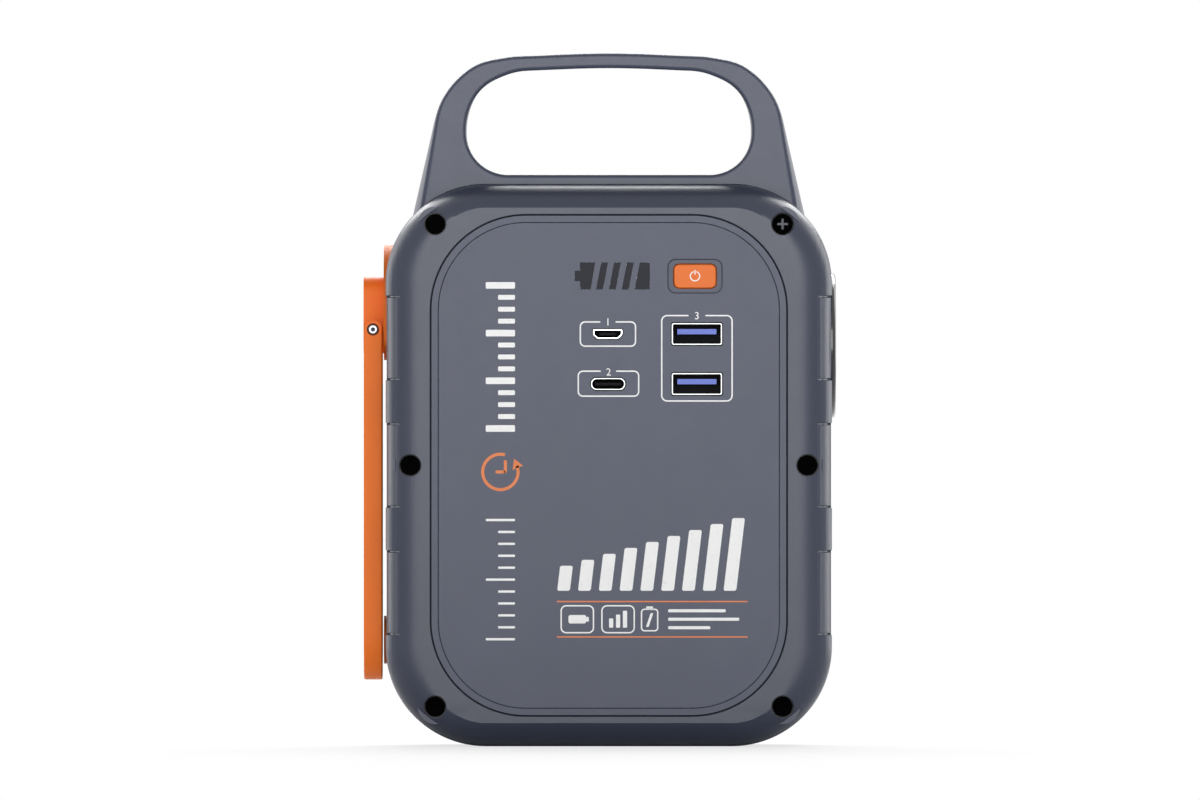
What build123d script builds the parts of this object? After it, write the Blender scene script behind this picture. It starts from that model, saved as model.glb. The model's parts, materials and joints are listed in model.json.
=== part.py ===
from build123d import *
import os
from math import acos, atan2, cos, pi, radians, sin, sqrt, tan

# Hand crank phone charger, in millimetres. X runs to the right, the front faces -Y, Z is up.
# The origin is the middle of the flat base that it stands on.

# How far a cutter runs beyond the face it opens.
past = 1.0

# ---- case ----
body_width = 116.2
body_height = 146.4
body_depth = 56.0
corner_radius = 26.0
edge_round = 7.5
wall = 2.4
front_wall = 3.6
front_shell_depth = 8.0
body_front = -body_depth / 2
body_back = body_depth / 2
body_side = body_width / 2
body_middle_z = body_height / 2
parting_y = body_front + front_shell_depth

# Shallow side recesses between the raised bands.
recess_depth = 0.55
recess_reach = 4.1
recess_height = 22.2
recess_pitch = 33.15
recess_middles = [body_middle_z + row * recess_pitch for row in (-1, 0, 1)]
recess_zones = [(middle - recess_height / 2, middle + recess_height / 2) for middle in recess_middles]

# Rear panel field.
rear_field_margin = 16.0
rear_field_corner = 18.0
rear_field_depth = 0.6

# Seal between the shells.
seal_inset = 1.1
seal_width = 0.8
seal_depth = 0.8

# ---- case screws ----
screw_end_margin = 10.4
screw_corner_inset = 12.9
screw_side_inset = 6.4
case_screw_places = [
    (side * (body_side - inset), z)
    for side in (-1, 1)
    for inset, z in (
        (screw_corner_inset, body_height - screw_end_margin),
        (screw_side_inset, body_middle_z),
        (screw_corner_inset, screw_end_margin),
    )
]
screw_hole_radius = 3.0
screw_head_radius = 2.6
screw_head_height = 2.0
screw_shank_radius = 1.25
screw_clearance = 0.15
screw_seat_thickness = 1.6
screw_column_wall = 1.5
screw_post_radius = 3.2
screw_length = 15.0
screw_pilot_depth = screw_length + 1.0
socket_depth = 1.0
cross_reach = 1.55
cross_half_width = 0.3

# ---- front panel ----
panel_side_margin = 12.0
panel_end_margin = 8.3
panel_width = body_width - 2 * panel_side_margin
panel_height = body_height - 2 * panel_end_margin
panel_corner = 24.5
panel_thickness = 2.0
panel_gap = 0.4
panel_ledge = 2.2
engraved_inset = 1.6
engraved_width = 0.3
engraved_depth = 0.2

# ---- carry handle ----
handle_depth = 32.0
handle_rise = 34.2
handle_base = 2.5
handle_bar = 4.0
handle_overlap = 8.2
handle_top_inset = 16.6
handle_foot_inset = 6.9
handle_corner = 22.9
handle_edge = 1.2
handle_top_z = body_height + handle_rise
handle_top_half = body_side - handle_top_inset
handle_foot_z = body_height - handle_overlap
handle_foot_half = body_side - handle_foot_inset
grip_gap_inset = 20.9
grip_gap_width = body_width - 2 * grip_gap_inset
grip_gap_bottom_z = body_height + handle_base
grip_gap_height = handle_rise - handle_base - handle_bar
grip_gap_top_corner = 16.0
grip_gap_bottom_corner = 11.0
handle_screw_inset = 21.1
handle_screw_x = body_side - handle_screw_inset
handle_screw_y = 9.0
handle_screw_length = 9.0
handle_seat_depth = 0.5

# ---- crank ----
crank_drop = 30.8
crank_z = body_height - crank_drop
hub_proud = 0.6
hub_radius = 15.0
hub_face_x = -body_side - hub_proud
hub_thickness = 2.8
hub_gap = 0.3
hub_rim_gap = 0.35
hub_seat_thickness = 2.4
hub_seat_margin = 2.5
block_rise = 6.6
block_drop = 13.2
block_top_z = crank_z + block_rise
block_bottom_z = crank_z - block_drop
block_width = 16.0
block_thickness = 5.3
block_corner = 4.0
pin_offset = 2.8
pin_drop = 7.0
pin_x = hub_face_x - pin_offset
pin_z = crank_z - pin_drop
pin_radius = 1.25
pin_clearance = 0.07
pin_socket_radius = 0.65
pin_socket_depth = 0.7
arm_thickness = 4.8
arm_width = 22.4
arm_reach = 91.4
arm_end_z = pin_z - arm_reach
arm_slot_clearance = 0.3
arm_fork_depth = 14.2
arm_edge = 0.4
grip_length = 50.0
grip_end_gap = 0.3
grip_edge = 1.0
grip_rib_count = 7
grip_rib_pitch = 4.5
grip_rib_width = 1.4
grip_rib_depth = 0.45
grip_rib_margin = 2.0
trunnion_radius = 1.5
trunnion_length = 1.3
trunnion_clearance = 0.06
keeper_width = 9.0
keeper_height = 3.6
keeper_thickness = 0.8
keeper_gap = 1.2
boss_radius = 6.25
boss_rise = 10.4
boss_z = arm_end_z + boss_rise
boss_depth = 2.2
boss_seat_margin = 2.0
magnet_radius = 4.0
magnet_thickness = 1.4

# ---- crank shaft and gears ----
shaft_radius = 4.0
shaft_clearance = 0.04
shaft_socket = 1.8
bush_wall = 1.5
bush_flange_wall = 3.0
bush_flange_thickness = 1.0
bush_seat_radius = 8.0
bush_seat_length = 5.0
bush_seat_end_x = hub_face_x + hub_thickness + hub_gap + bush_seat_length
clip_wall = 2.2
clip_thickness = 0.7
clip_gap = 0.1
clip_groove = 0.4
clip_mouth = 2.4
clip_x = bush_seat_end_x + bush_flange_thickness + clip_gap
gear_gap = 0.8
plate_thickness = 1.5
plate_end_gap = 2.1
drive_gear_width = 4.0
stage_2_width = 3.2
stage_3_width = 2.8
plate_outer_x = clip_x + clip_thickness + gear_gap
stage_1_x = plate_outer_x + plate_thickness + gear_gap
stage_2_x = stage_1_x + drive_gear_width + gear_gap
stage_3_x = stage_2_x + stage_2_width + gear_gap
plate_inner_x = stage_3_x + stage_3_width + plate_end_gap
plate_half_width = 18.6
plate_rise = 16.0
plate_drop = 61.0
plate_top_z = crank_z + plate_rise
plate_bottom_z = crank_z - plate_drop
plate_corner = 4.0
plate_post_radius = 2.5
plate_post_inset = 3.0
plate_screw_radius = 1.1
plate_screw_grip = 4.0
plate_screw_head = 1.4
plate_screw_recess = 0.6
plate_post_places = [
    (side * (plate_half_width - plate_post_inset), z)
    for side in (-1, 1)
    for z in (plate_top_z - plate_post_inset, plate_bottom_z + plate_post_inset)
]
pressure_angle = radians(20.0)
gear_backlash = 0.16
tooth_addendum = 0.85
tooth_dedendum = 1.15
flank_steps = 3
centre_play = 0.05
stage_1_module = 1.0
stage_2_module = 0.8
stage_3_module = 0.6
drive_teeth = 30
stage_1_pinion_teeth = 12
stage_1_wheel_teeth = 40
stage_2_pinion_teeth = 12
stage_2_wheel_teeth = 52
rotor_pinion_teeth = 13
gear_collar = 3.0
axle_radius = 1.5
axle_clearance = 0.05
gear_2_offset_y = 3.0
rotor_offset_y = 6.0

# ---- generator ----
generator_room = 1.6
generator_radius = body_back - wall - generator_room - gear_2_offset_y - rotor_offset_y
generator_length = 20.0
can_wall = 1.2
can_end_wall = 1.6
can_left_x = plate_inner_x + plate_thickness
can_right_x = can_left_x + generator_length
stator_yoke_width = 1.8
stator_tooth_count = 6
stator_tooth_width = 4.0
stator_length = 10.0
stator_left_x = (can_left_x + can_right_x - can_end_wall - stator_length) / 2
rotor_gap = 0.6
coil_wall = 1.25
coil_height = 2.2
coil_gap = 0.6
coil_to_rotor = 1.8
rotor_radius = (
    generator_radius - can_wall - stator_yoke_width - coil_gap - coil_height - coil_to_rotor
)
rotor_shaft_radius = 1.5
rotor_end_gap = 1.0
rotor_bush_radius = 3.5

# ---- main board ----
board_setback = 14.0
board_front_y = body_front + board_setback
board_thickness = 1.6
board_plate_gap = 2.5
board_side_room = 18.1
board_left_x = plate_inner_x + plate_thickness + board_plate_gap
board_right_x = body_side - board_side_room
board_top_drop = 18.4
board_height = 66.0
board_top_z = body_height - board_top_drop
board_bottom_z = board_top_z - board_height
board_corner = 2.0
board_post_radius = 2.4
board_screw_inset = 3.8
board_screw_places = [
    (x, z)
    for x in (board_left_x + board_screw_inset, board_right_x - board_screw_inset)
    for z in (board_bottom_z + board_screw_inset, board_top_z - board_screw_inset)
]
board_screw_radius = 0.9
board_screw_head_radius = 1.9
board_screw_head_height = 1.2
board_screw_length = 6.0

# Components on the board's rear, in three rows.
parts_in_row = 3
parts_pitch = 11.0
parts_right_margin = 38.0
parts_bottom_margin = 6.0
inductor_size = 8.0
inductor_height = 5.0
capacitor_radius = 3.2
capacitor_height = 8.0
chip_size = 6.0
chip_height = 1.2

# ---- ports ----
upper_port_drop = 39.05
lower_port_drop = 52.05
upper_port_z = body_height - upper_port_drop
lower_port_z = body_height - lower_port_drop
port_clearance = 0.25
port_skin = 0.3
port_sink = 0.15
port_base_depth = 2.0
tongue_sink = 1.2
usb_a_x = 22.9
usb_a_places = [(usb_a_x, upper_port_z), (usb_a_x, lower_port_z)]
usb_a_width = 13.1
usb_a_height = 5.7
usb_a_corner = 0.5
usb_a_tongue_width = 10.2
usb_a_tongue_height = 1.1
usb_a_tongue_rise = 0.5
usb_c_place = (-0.2, lower_port_z)
usb_c_width = 8.94
usb_c_height = 3.16
usb_c_tongue_width = 6.7
usb_c_tongue_height = 0.7
micro_b_place = (-0.3, upper_port_z)
micro_b_width = 7.6
micro_b_height = 2.5
micro_b_foot_width = 5.6
micro_b_shoulder = 1.15
micro_b_corner = 0.35
micro_b_tongue_width = 4.4
micro_b_tongue_height = 0.7

# ---- level gauge ----
gauge_left_x = -8.87
gauge_drop = 20.45
gauge_top_z = body_height - gauge_drop
gauge_height = 7.0
gauge_bar_count = 4
gauge_bar_width = 1.75
gauge_bar_gap = 1.4
gauge_bar_pitch = 3.35
gauge_lean = 1.35
gauge_end_width = 3.9
gauge_nub_width = 1.4
gauge_nub_height = 2.7
gauge_tail_width = 2.75
gauge_window_clearance = 0.03
guide_margin = 0.6
light_width = 1.2
light_height = 1.6
light_depth = 0.8
light_gap = 0.1

# ---- power button ----
button_x = 22.4
button_drop = 24.0
button_z = body_height - button_drop
button_width = 10.9
button_height = 6.1
button_corner = 1.4
button_gap = 0.3
button_proud = 0.4
button_edge = 0.32
button_travel = 0.6
button_flange = 0.9
button_flange_thickness = 0.8
button_flange_gap = 0.1
button_stem_radius = 1.6
button_dish_width = 14.0
button_dish_height = 8.7
button_dish_corner = 2.0
button_dish_depth = 0.4
switch_size = 6.0
switch_height = 3.4
plunger_radius = 1.5
plunger_height = 0.8
plunger_gap = 0.1
switch_top_y = board_front_y - switch_height - plunger_height

# ---- battery ----
cell_gap = 0.6
holder_wall = 2.6
holder_floor = 1.6
holder_base_z = 3.8
battery_headroom = 5.0
cell_radius = 10.7
cell_pitch = 2 * cell_radius + cell_gap
cell_rows = int((plate_bottom_z - battery_headroom - holder_base_z - holder_floor) // cell_pitch)
cell_side_room = 23.1
cell_length = body_width - 2 * cell_side_room
cell_shoulder = 5.9
cell_nub_radius = cell_radius - cell_shoulder
cell_nub_height = 1.0
strap_thickness = 0.2
strap_width = 8.0
holder_rim_drop = 5.0
holder_height = holder_floor + cell_rows * cell_pitch - cell_gap - holder_rim_drop
cradle_height = 4.3
rib_width = 2.0
rib_x = 20.0
rib_front_gap = 2.0

# ---- lamp ----
lamp_drop = 42.0
lamp_z = body_height - lamp_drop
lamp_radius = 19.0
lamp_proud = 1.1
lamp_seat_depth = 1.2
lamp_tube_length = 4.9
lamp_face_x = body_side + lamp_proud
lamp_seat_x = body_side - lamp_seat_depth
lamp_tube_end_x = lamp_seat_x - lamp_tube_length
lamp_edge = 1.15
lamp_seat_gap = 0.3
lamp_flange_width = 2.6
lamp_tube_radius = lamp_radius - lamp_flange_width
lamp_tube_wall = 1.6
lamp_hole_gap = 0.2
lens_seat_wall = 1.0
lens_radius = lamp_tube_radius - lens_seat_wall
lens_thickness = 1.4
lens_sink = 0.7
lens_back_x = lamp_face_x - lens_sink - lens_thickness
reflector_margin = 1.0
reflector_rim_radius = lens_radius - reflector_margin
reflector_throat_radius = 3.2
reflector_depth = 11.0
reflector_bend_depth = 7.15
reflector_bend_radius = 10.4
reflector_wall = 0.9
lamp_board_radius = 9.0
lamp_board_thickness = 1.6
lamp_board_right_x = lens_back_x - reflector_depth
lamp_chip_size = 3.4
lamp_chip_height = 1.0


# ---- building blocks ----
def front_slab(outline, front_y, back_y):
    """Outline drawn as seen from the front, made solid from front_y to back_y."""
    plane = Plane(origin=(0, back_y, 0), x_dir=(1, 0, 0), z_dir=(0, -1, 0))
    return extrude(plane * outline, amount=back_y - front_y)


def side_slab(outline, left_x, right_x):
    """Outline drawn in Y and Z, made solid from left_x to right_x."""
    plane = Plane(origin=(left_x, 0, 0), x_dir=(0, 1, 0), z_dir=(1, 0, 0))
    return extrude(plane * outline, amount=right_x - left_x)


def block(x0, x1, y0, y1, z0, z1):
    return Pos((x0 + x1) / 2, (y0 + y1) / 2, (z0 + z1) / 2) * Box(x1 - x0, y1 - y0, z1 - z0)


def rod_x(y, z, radius, x0, x1):
    return side_slab(Pos(y, z) * Circle(radius), x0, x1)


def rod_y(x, z, radius, y0, y1):
    return front_slab(Pos(x, z) * Circle(radius), y0, y1)


def rod_z(x, y, radius, z0, z1):
    return Pos(x, y, (z0 + z1) / 2) * Cylinder(radius, z1 - z0)


def joined(pieces):
    """One shape from touching or overlapping pieces."""
    first, *others = list(pieces)
    return first.fuse(*others) if others else first


def group(pieces):
    """Separate solids kept together in one node."""
    return Compound(children=[solid for piece in pieces for solid in piece.solids()])


# ---- case ----
def body_form(inset):
    """The case's outer form, drawn in by an inset all round."""
    outline = Pos(0, body_middle_z) * RectangleRounded(
        body_width - 2 * inset, body_height - 2 * inset, corner_radius - inset
    )
    form = front_slab(outline, body_front + inset, body_back - inset)
    by_depth = form.faces().sort_by(Axis.Y)
    rims = by_depth[0].edges() + by_depth[-1].edges()
    return fillet(rims, edge_round - inset)


def case_section(inset, front_y, back_y):
    """A straight prism on the case's outline, drawn in by an inset."""
    outline = Pos(0, body_middle_z) * RectangleRounded(
        body_width - 2 * inset, body_height - 2 * inset, corner_radius - inset
    )
    return front_slab(outline, front_y, back_y)


def recess_cut():
    """Skin taken off the sides between the raised bands."""
    zones = [
        block(side * body_side - recess_reach, side * body_side + recess_reach, body_front, body_back, z0, z1)
        for side in (-1, 1)
        for z0, z1 in recess_zones
    ]
    return joined(zones) - body_form(recess_depth)


def cavity(front_y):
    """The hollow inside the case, from front_y to the rear wall."""
    room = body_form(wall)
    return room & block(-body_side, body_side, front_y, body_back, 0, body_height)


def panel_outline(margin):
    return Pos(0, body_middle_z) * RectangleRounded(
        panel_width + 2 * margin, panel_height + 2 * margin, panel_corner + margin
    )


def front_shell(outer, recess, room):
    shell = outer & block(-body_side, body_side, body_front, parting_y, 0, body_height)
    shell -= recess
    shell -= room
    columns = [
        rod_y(x, z, screw_hole_radius + screw_column_wall, body_front + front_wall - past, parting_y)
        for x, z in case_screw_places
    ]
    shell = joined([shell] + [column & case_section(wall / 2, body_front, parting_y) for column in columns])
    shell -= front_slab(panel_outline(panel_gap), body_front - past, body_front + panel_thickness)
    shell -= front_slab(panel_outline(-panel_ledge), body_front - past, parting_y + past)
    for x, z in case_screw_places:
        shell -= rod_y(x, z, screw_hole_radius, body_front - past, parting_y - screw_seat_thickness)
        shell -= rod_y(x, z, screw_shank_radius + screw_clearance, body_front, parting_y + past)
    return shell


def rear_shell(outer, recess, room):
    shell = outer & block(-body_side, body_side, parting_y, body_back, 0, body_height)
    shell -= recess
    shell -= room
    rear_inner_y = body_back - wall
    inside = body_form(wall / 2) & block(-body_side, body_side, parting_y, body_back, 0, body_height)
    posts = [rod_y(x, z, screw_post_radius, parting_y, rear_inner_y + wall / 2) for x, z in case_screw_places]
    hub_floor_x = hub_face_x + hub_thickness + hub_gap
    hub_backing = rod_x(0, crank_z, hub_radius + hub_seat_margin, hub_floor_x, hub_floor_x + hub_seat_thickness)
    bush_seat = rod_x(0, crank_z, bush_seat_radius, hub_floor_x, bush_seat_end_x)
    gear_posts = [
        rod_x(y, z, plate_post_radius, -body_side + wall / 2, plate_outer_x) for y, z in plate_post_places
    ]
    boss_floor = hub_face_x + boss_depth
    boss_backing = rod_x(0, boss_z, boss_radius + boss_seat_margin, boss_floor, boss_floor + hub_seat_thickness)
    floor_ribs = [
        block(side * rib_x - rib_width / 2, side * rib_x + rib_width / 2, parting_y + rib_front_gap,
              rear_inner_y + wall / 2, wall / 2, holder_base_z)
        for side in (-1, 1)
    ]
    fittings = posts + [hub_backing, bush_seat, boss_backing] + gear_posts + floor_ribs
    shell = joined([shell] + [fitting & inside for fitting in fittings])
    for x, z in case_screw_places:
        shell -= rod_y(x, z, screw_shank_radius, parting_y - past, parting_y + screw_pilot_depth)
    for y, z in plate_post_places:
        shell -= rod_x(y, z, plate_screw_radius, plate_outer_x - plate_screw_grip, plate_outer_x + past)
    shell -= rod_x(0, crank_z, hub_radius + hub_rim_gap, -body_side - past, hub_floor_x)
    shell -= rod_x(0, crank_z, shaft_radius + bush_wall, -body_side, bush_seat_end_x + past)
    shell -= rod_x(0, boss_z, boss_radius, -body_side - past, boss_floor)
    shell -= rod_x(0, lamp_z, lamp_radius + lamp_seat_gap, lamp_seat_x, body_side + past)
    shell -= rod_x(0, lamp_z, lamp_tube_radius + lamp_hole_gap, lamp_tube_end_x, body_side + past)
    for x, y in handle_screw_spots():
        shell -= rod_z(x, y, screw_shank_radius + screw_clearance, handle_screw_z() - past, body_height + past)
        shell -= rod_z(x, y, screw_head_radius + screw_clearance, handle_screw_z() - wall, handle_screw_z())
    seal_ring = case_section(seal_inset, parting_y, parting_y + seal_depth)
    shell -= seal_ring - case_section(seal_inset + seal_width, parting_y - past, parting_y + seal_depth + past)
    field = Pos(0, body_middle_z) * RectangleRounded(
        body_width - 2 * rear_field_margin, body_height - 2 * rear_field_margin, rear_field_corner
    )
    shell -= front_slab(field, body_back - rear_field_depth, body_back + past)
    return shell


def case_seal():
    ring = case_section(seal_inset, parting_y, parting_y + seal_depth)
    return ring - case_section(seal_inset + seal_width, parting_y - past, parting_y + seal_depth + past)


def screw_down_y(x, z):
    """Case screw with a cross recess in its head, driven towards +Y."""
    seat_y = parting_y - screw_seat_thickness
    head = rod_y(x, z, screw_head_radius, seat_y - screw_head_height, seat_y)
    shank = rod_y(x, z, screw_shank_radius, seat_y, seat_y + screw_length)
    top_y = seat_y - screw_head_height
    across = block(x - cross_reach, x + cross_reach, top_y, top_y + socket_depth,
                   z - cross_half_width, z + cross_half_width)
    upright = block(x - cross_half_width, x + cross_half_width, top_y, top_y + socket_depth,
                    z - cross_reach, z + cross_reach)
    return joined([head, shank]) - across - upright


# ---- front panel ----
def gauge_outlines(margin):
    """The five slanted windows, with the nub on the first, grown by a margin."""
    top = gauge_top_z
    low = gauge_top_z - gauge_height
    middle = gauge_top_z - gauge_height / 2
    body_left = gauge_left_x + gauge_nub_width
    first = Polygon(
        (gauge_left_x, middle - gauge_nub_height / 2),
        (body_left, middle - gauge_nub_height / 2),
        (body_left, low),
        (body_left + gauge_tail_width, low),
        (body_left + gauge_end_width, top),
        (body_left, top),
        (body_left, middle + gauge_nub_height / 2),
        (gauge_left_x, middle + gauge_nub_height / 2),
        align=None,
    )
    outlines = [first]
    start = body_left + gauge_tail_width + gauge_bar_gap
    for index in range(gauge_bar_count):
        left = start + index * gauge_bar_pitch
        last = index == gauge_bar_count - 1
        right = left + (gauge_end_width if last else gauge_bar_width)
        lean_right = 0 if last else gauge_lean
        outlines.append(
            Polygon((left, low), (right, low), (right + lean_right, top), (left + gauge_lean, top), align=None)
        )
    if margin:
        outlines = [offset(outline, amount=margin, kind=Kind.INTERSECTION) for outline in outlines]
    return outlines


def usb_a_outline(margin):
    return RectangleRounded(usb_a_width + 2 * margin, usb_a_height + 2 * margin,
                            usb_a_corner + max(margin, 0))


def usb_c_outline(margin):
    height = usb_c_height + 2 * margin
    return RectangleRounded(usb_c_width + 2 * margin, height, height / 2 - 0.01)


def micro_b_outline(margin):
    half = micro_b_width / 2
    foot = micro_b_foot_width / 2
    top = micro_b_height / 2
    outline = Polygon(
        (-foot, -top), (foot, -top), (half, -top + micro_b_shoulder), (half, top), (-half, top),
        (-half, -top + micro_b_shoulder), align=None,
    )
    outline = fillet(outline.vertices(), micro_b_corner)
    return offset(outline, amount=margin) if margin else outline


def port_openings():
    """Every socket outline with its place on the panel."""
    openings = [(place, usb_a_outline) for place in usb_a_places]
    return openings + [(usb_c_place, usb_c_outline), (micro_b_place, micro_b_outline)]


def button_outline(margin):
    return RectangleRounded(button_width + 2 * margin, button_height + 2 * margin,
                            button_corner + max(margin, 0))


def front_panel():
    rear_y = body_front + panel_thickness
    panel = front_slab(panel_outline(0), body_front, rear_y)
    line = panel_outline(-engraved_inset) - panel_outline(-engraved_inset - engraved_width)
    panel -= front_slab(line, body_front - past, body_front + engraved_depth)
    dish = Pos(button_x, button_z) * RectangleRounded(button_dish_width, button_dish_height, button_dish_corner)
    panel -= front_slab(dish, body_front - past, body_front + button_dish_depth)
    panel -= front_slab(Pos(button_x, button_z) * button_outline(button_gap), body_front - past, rear_y + past)
    for (x, z), outline in port_openings():
        panel -= front_slab(Pos(x, z) * outline(port_clearance), body_front - past, rear_y + past)
    for outline in gauge_outlines(gauge_window_clearance):
        panel -= front_slab(outline, body_front - past, rear_y + past)
    posts = [rod_y(x, z, board_post_radius, rear_y, board_front_y) for x, z in board_screw_places]
    panel = joined([panel] + posts)
    for x, z in board_screw_places:
        panel -= rod_y(x, z, board_screw_radius, board_front_y - board_screw_length, board_front_y + past)
    return panel


def level_windows():
    rear_y = body_front + panel_thickness
    return group([front_slab(outline, body_front, rear_y) for outline in gauge_outlines(0)])


def light_guide():
    outline = gauge_outlines(0)
    left = gauge_left_x - guide_margin
    right = max(vertex.X for vertex in outline[-1].vertices()) + guide_margin
    low = gauge_top_z - gauge_height - guide_margin
    top = gauge_top_z + guide_margin
    rear_y = board_front_y - light_depth - light_gap
    return block(left, right, body_front + panel_thickness, rear_y, low, top)


def level_lights():
    middle = gauge_top_z - gauge_height / 2
    lights = []
    for outline in gauge_outlines(0):
        x = outline.center().X
        lights.append(block(x - light_width / 2, x + light_width / 2,
                            board_front_y - light_depth, board_front_y,
                            middle - light_height / 2, middle + light_height / 2))
    return group(lights)


# ---- ports ----
def port_shell(outline, place):
    skin = outline(0) - outline(-port_skin)
    return front_slab(Pos(*place) * skin, body_front + port_sink, board_front_y)


def port_tongue(outline, place, width, height, rise):
    x, z = place
    base = front_slab(Pos(x, z) * outline(-port_skin), board_front_y - port_base_depth, board_front_y)
    middle = z + rise
    tongue = block(x - width / 2, x + width / 2, body_front + port_sink + tongue_sink,
                   board_front_y - port_base_depth, middle - height / 2, middle + height / 2)
    return joined([base, tongue])


# ---- carry handle ----
def handle_screw_z():
    """Underside of the case top where the handle screws' heads sit."""
    across = handle_screw_x - (body_side - corner_radius)
    inner = corner_radius - wall
    drop = inner - sqrt(inner**2 - across**2) if across > 0 else 0
    return body_height - wall - drop - handle_seat_depth


def handle_screw_spots():
    return [(x, y) for x in (-handle_screw_x, handle_screw_x) for y in (-handle_screw_y, handle_screw_y)]


def carry_handle():
    frame = Polygon(
        (-handle_foot_half, handle_foot_z), (handle_foot_half, handle_foot_z),
        (handle_top_half, handle_top_z), (-handle_top_half, handle_top_z), align=None,
    )
    frame = fillet(frame.vertices().sort_by(Axis.Y)[2:], handle_corner)
    gap = Pos(0, grip_gap_bottom_z + grip_gap_height / 2) * Rectangle(grip_gap_width, grip_gap_height)
    corners = gap.vertices().sort_by(Axis.Y)
    gap = fillet(corners[2:], grip_gap_top_corner)
    corners = gap.vertices().sort_by(Axis.Y)
    gap = fillet(corners[:2], grip_gap_bottom_corner)
    half = handle_depth / 2
    loop = front_slab(frame - gap, -half, half)
    rims = loop.faces().sort_by(Axis.Y)
    loop = fillet(rims[0].edges() + rims[-1].edges(), handle_edge)
    loop -= case_section(0, -handle_depth, handle_depth)
    for x, y in handle_screw_spots():
        loop -= rod_z(x, y, screw_shank_radius, body_height - corner_radius,
                      handle_screw_z() + handle_screw_length)
    return loop


def handle_screw(x, y):
    top_z = handle_screw_z()
    head = rod_z(x, y, screw_head_radius, top_z - screw_head_height, top_z)
    shank = rod_z(x, y, screw_shank_radius, top_z, top_z + handle_screw_length)
    recess = rod_z(x, y, screw_head_radius / 2, top_z - screw_head_height - past, top_z - socket_depth)
    return joined([head, shank]) - recess


# ---- crank ----
def crank_hub():
    disc = rod_x(0, crank_z, hub_radius, hub_face_x, hub_face_x + hub_thickness)
    height = block_top_z - block_bottom_z
    outline = Pos(0, block_bottom_z + height / 2) * RectangleRounded(block_width, height, block_corner)
    knuckle = side_slab(outline, hub_face_x - block_thickness, hub_face_x)
    hub = joined([disc, knuckle])
    hub -= rod_x(0, crank_z, shaft_radius, hub_face_x - shaft_socket, 0)
    return hub - rod_y(pin_x, pin_z, pin_radius + pin_clearance, -block_width, block_width)


def arm_pin():
    half = arm_width / 2
    pin = rod_y(pin_x, pin_z, pin_radius, -half, half)
    hexagon = Pos(pin_x, pin_z) * RegularPolygon(pin_socket_radius, 6)
    return pin - front_slab(hexagon, -half - past, -half + pin_socket_depth)


def arm_pivot_z():
    """Height of the grip's trunnions, in the middle of the arm's round end."""
    return arm_end_z + arm_width / 2


def arm_inner_x():
    return pin_x + arm_thickness / 2


def slot_half():
    return block_width / 2 + arm_slot_clearance


def crank_arm():
    pivot_z = arm_pivot_z()
    half = arm_width / 2
    ear_top_z = pin_z + arm_thickness / 2
    tall = Pos(0, (pivot_z + ear_top_z) / 2) * Rectangle(arm_width, ear_top_z - pivot_z)
    outline = tall + Pos(0, pivot_z) * Circle(half)
    outer_x = pin_x - arm_thickness / 2
    arm = side_slab(outline, outer_x, arm_inner_x())
    by_side = arm.faces().sort_by(Axis.X)
    arm = fillet(by_side[0].edges() + by_side[-1].edges(), arm_edge)
    window_bottom = pivot_z - arm_thickness / 2 - grip_end_gap
    window_top = pivot_z + grip_length + grip_end_gap
    arm -= block(outer_x - past, arm_inner_x() + past, -slot_half(), slot_half(), window_bottom, window_top)
    arm -= block(outer_x - past, arm_inner_x() + past, -slot_half(), slot_half(),
                 pin_z - arm_fork_depth, ear_top_z + past)
    ears = rod_y(pin_x, pin_z, arm_thickness / 2, -half, half)
    keep = joined([block(outer_x, arm_inner_x(), -half, half, arm_end_z, pin_z), ears])
    arm = arm & keep
    arm -= rod_y(pin_x, pin_z, pin_radius, -arm_width, arm_width)
    reach = block_width / 2 + trunnion_length + grip_end_gap
    arm -= rod_y(pin_x, pivot_z, trunnion_radius + trunnion_clearance, -reach, reach)
    return arm - keeper_block()


def keeper_block():
    """Steel strip let into the arm's lower end, facing the magnet."""
    top = arm_pivot_z() - arm_thickness / 2 - grip_end_gap - keeper_gap
    inner = arm_inner_x()
    return block(inner - keeper_thickness, inner, -keeper_width / 2, keeper_width / 2, top - keeper_height, top)


def crank_grip():
    pivot_z = arm_pivot_z()
    half_width = block_width / 2
    half = arm_thickness / 2
    bar = block(pin_x - half, pin_x + half, -half_width, half_width, pivot_z, pivot_z + grip_length)
    far = bar.edges().filter_by(Axis.Z) + bar.faces().sort_by(Axis.Z)[-1].edges()
    bar = fillet(far, grip_edge)
    heel = rod_y(pin_x, pivot_z, half, -half_width + grip_edge, half_width - grip_edge)
    reach = half_width + trunnion_length
    trunnion = rod_y(pin_x, pivot_z, trunnion_radius, -reach, reach)
    grip = joined([bar, heel, trunnion])
    first = pivot_z + grip_length / 2 - grip_rib_pitch * (grip_rib_count - 1) / 2
    for index in range(grip_rib_count):
        z = first + index * grip_rib_pitch
        for side in (-1, 1):
            face = pin_x + side * half
            grip -= block(face - grip_rib_depth, face + grip_rib_depth,
                          -half_width + grip_rib_margin, half_width - grip_rib_margin,
                          z - grip_rib_width / 2, z + grip_rib_width / 2)
    return grip


def catch_boss():
    floor = hub_face_x + boss_depth
    boss = rod_x(0, boss_z, boss_radius, hub_face_x, floor)
    return boss - rod_x(0, boss_z, magnet_radius, floor - magnet_thickness, floor + past)


def catch_magnet():
    floor = hub_face_x + boss_depth
    return rod_x(0, boss_z, magnet_radius, floor - magnet_thickness, floor)


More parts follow.
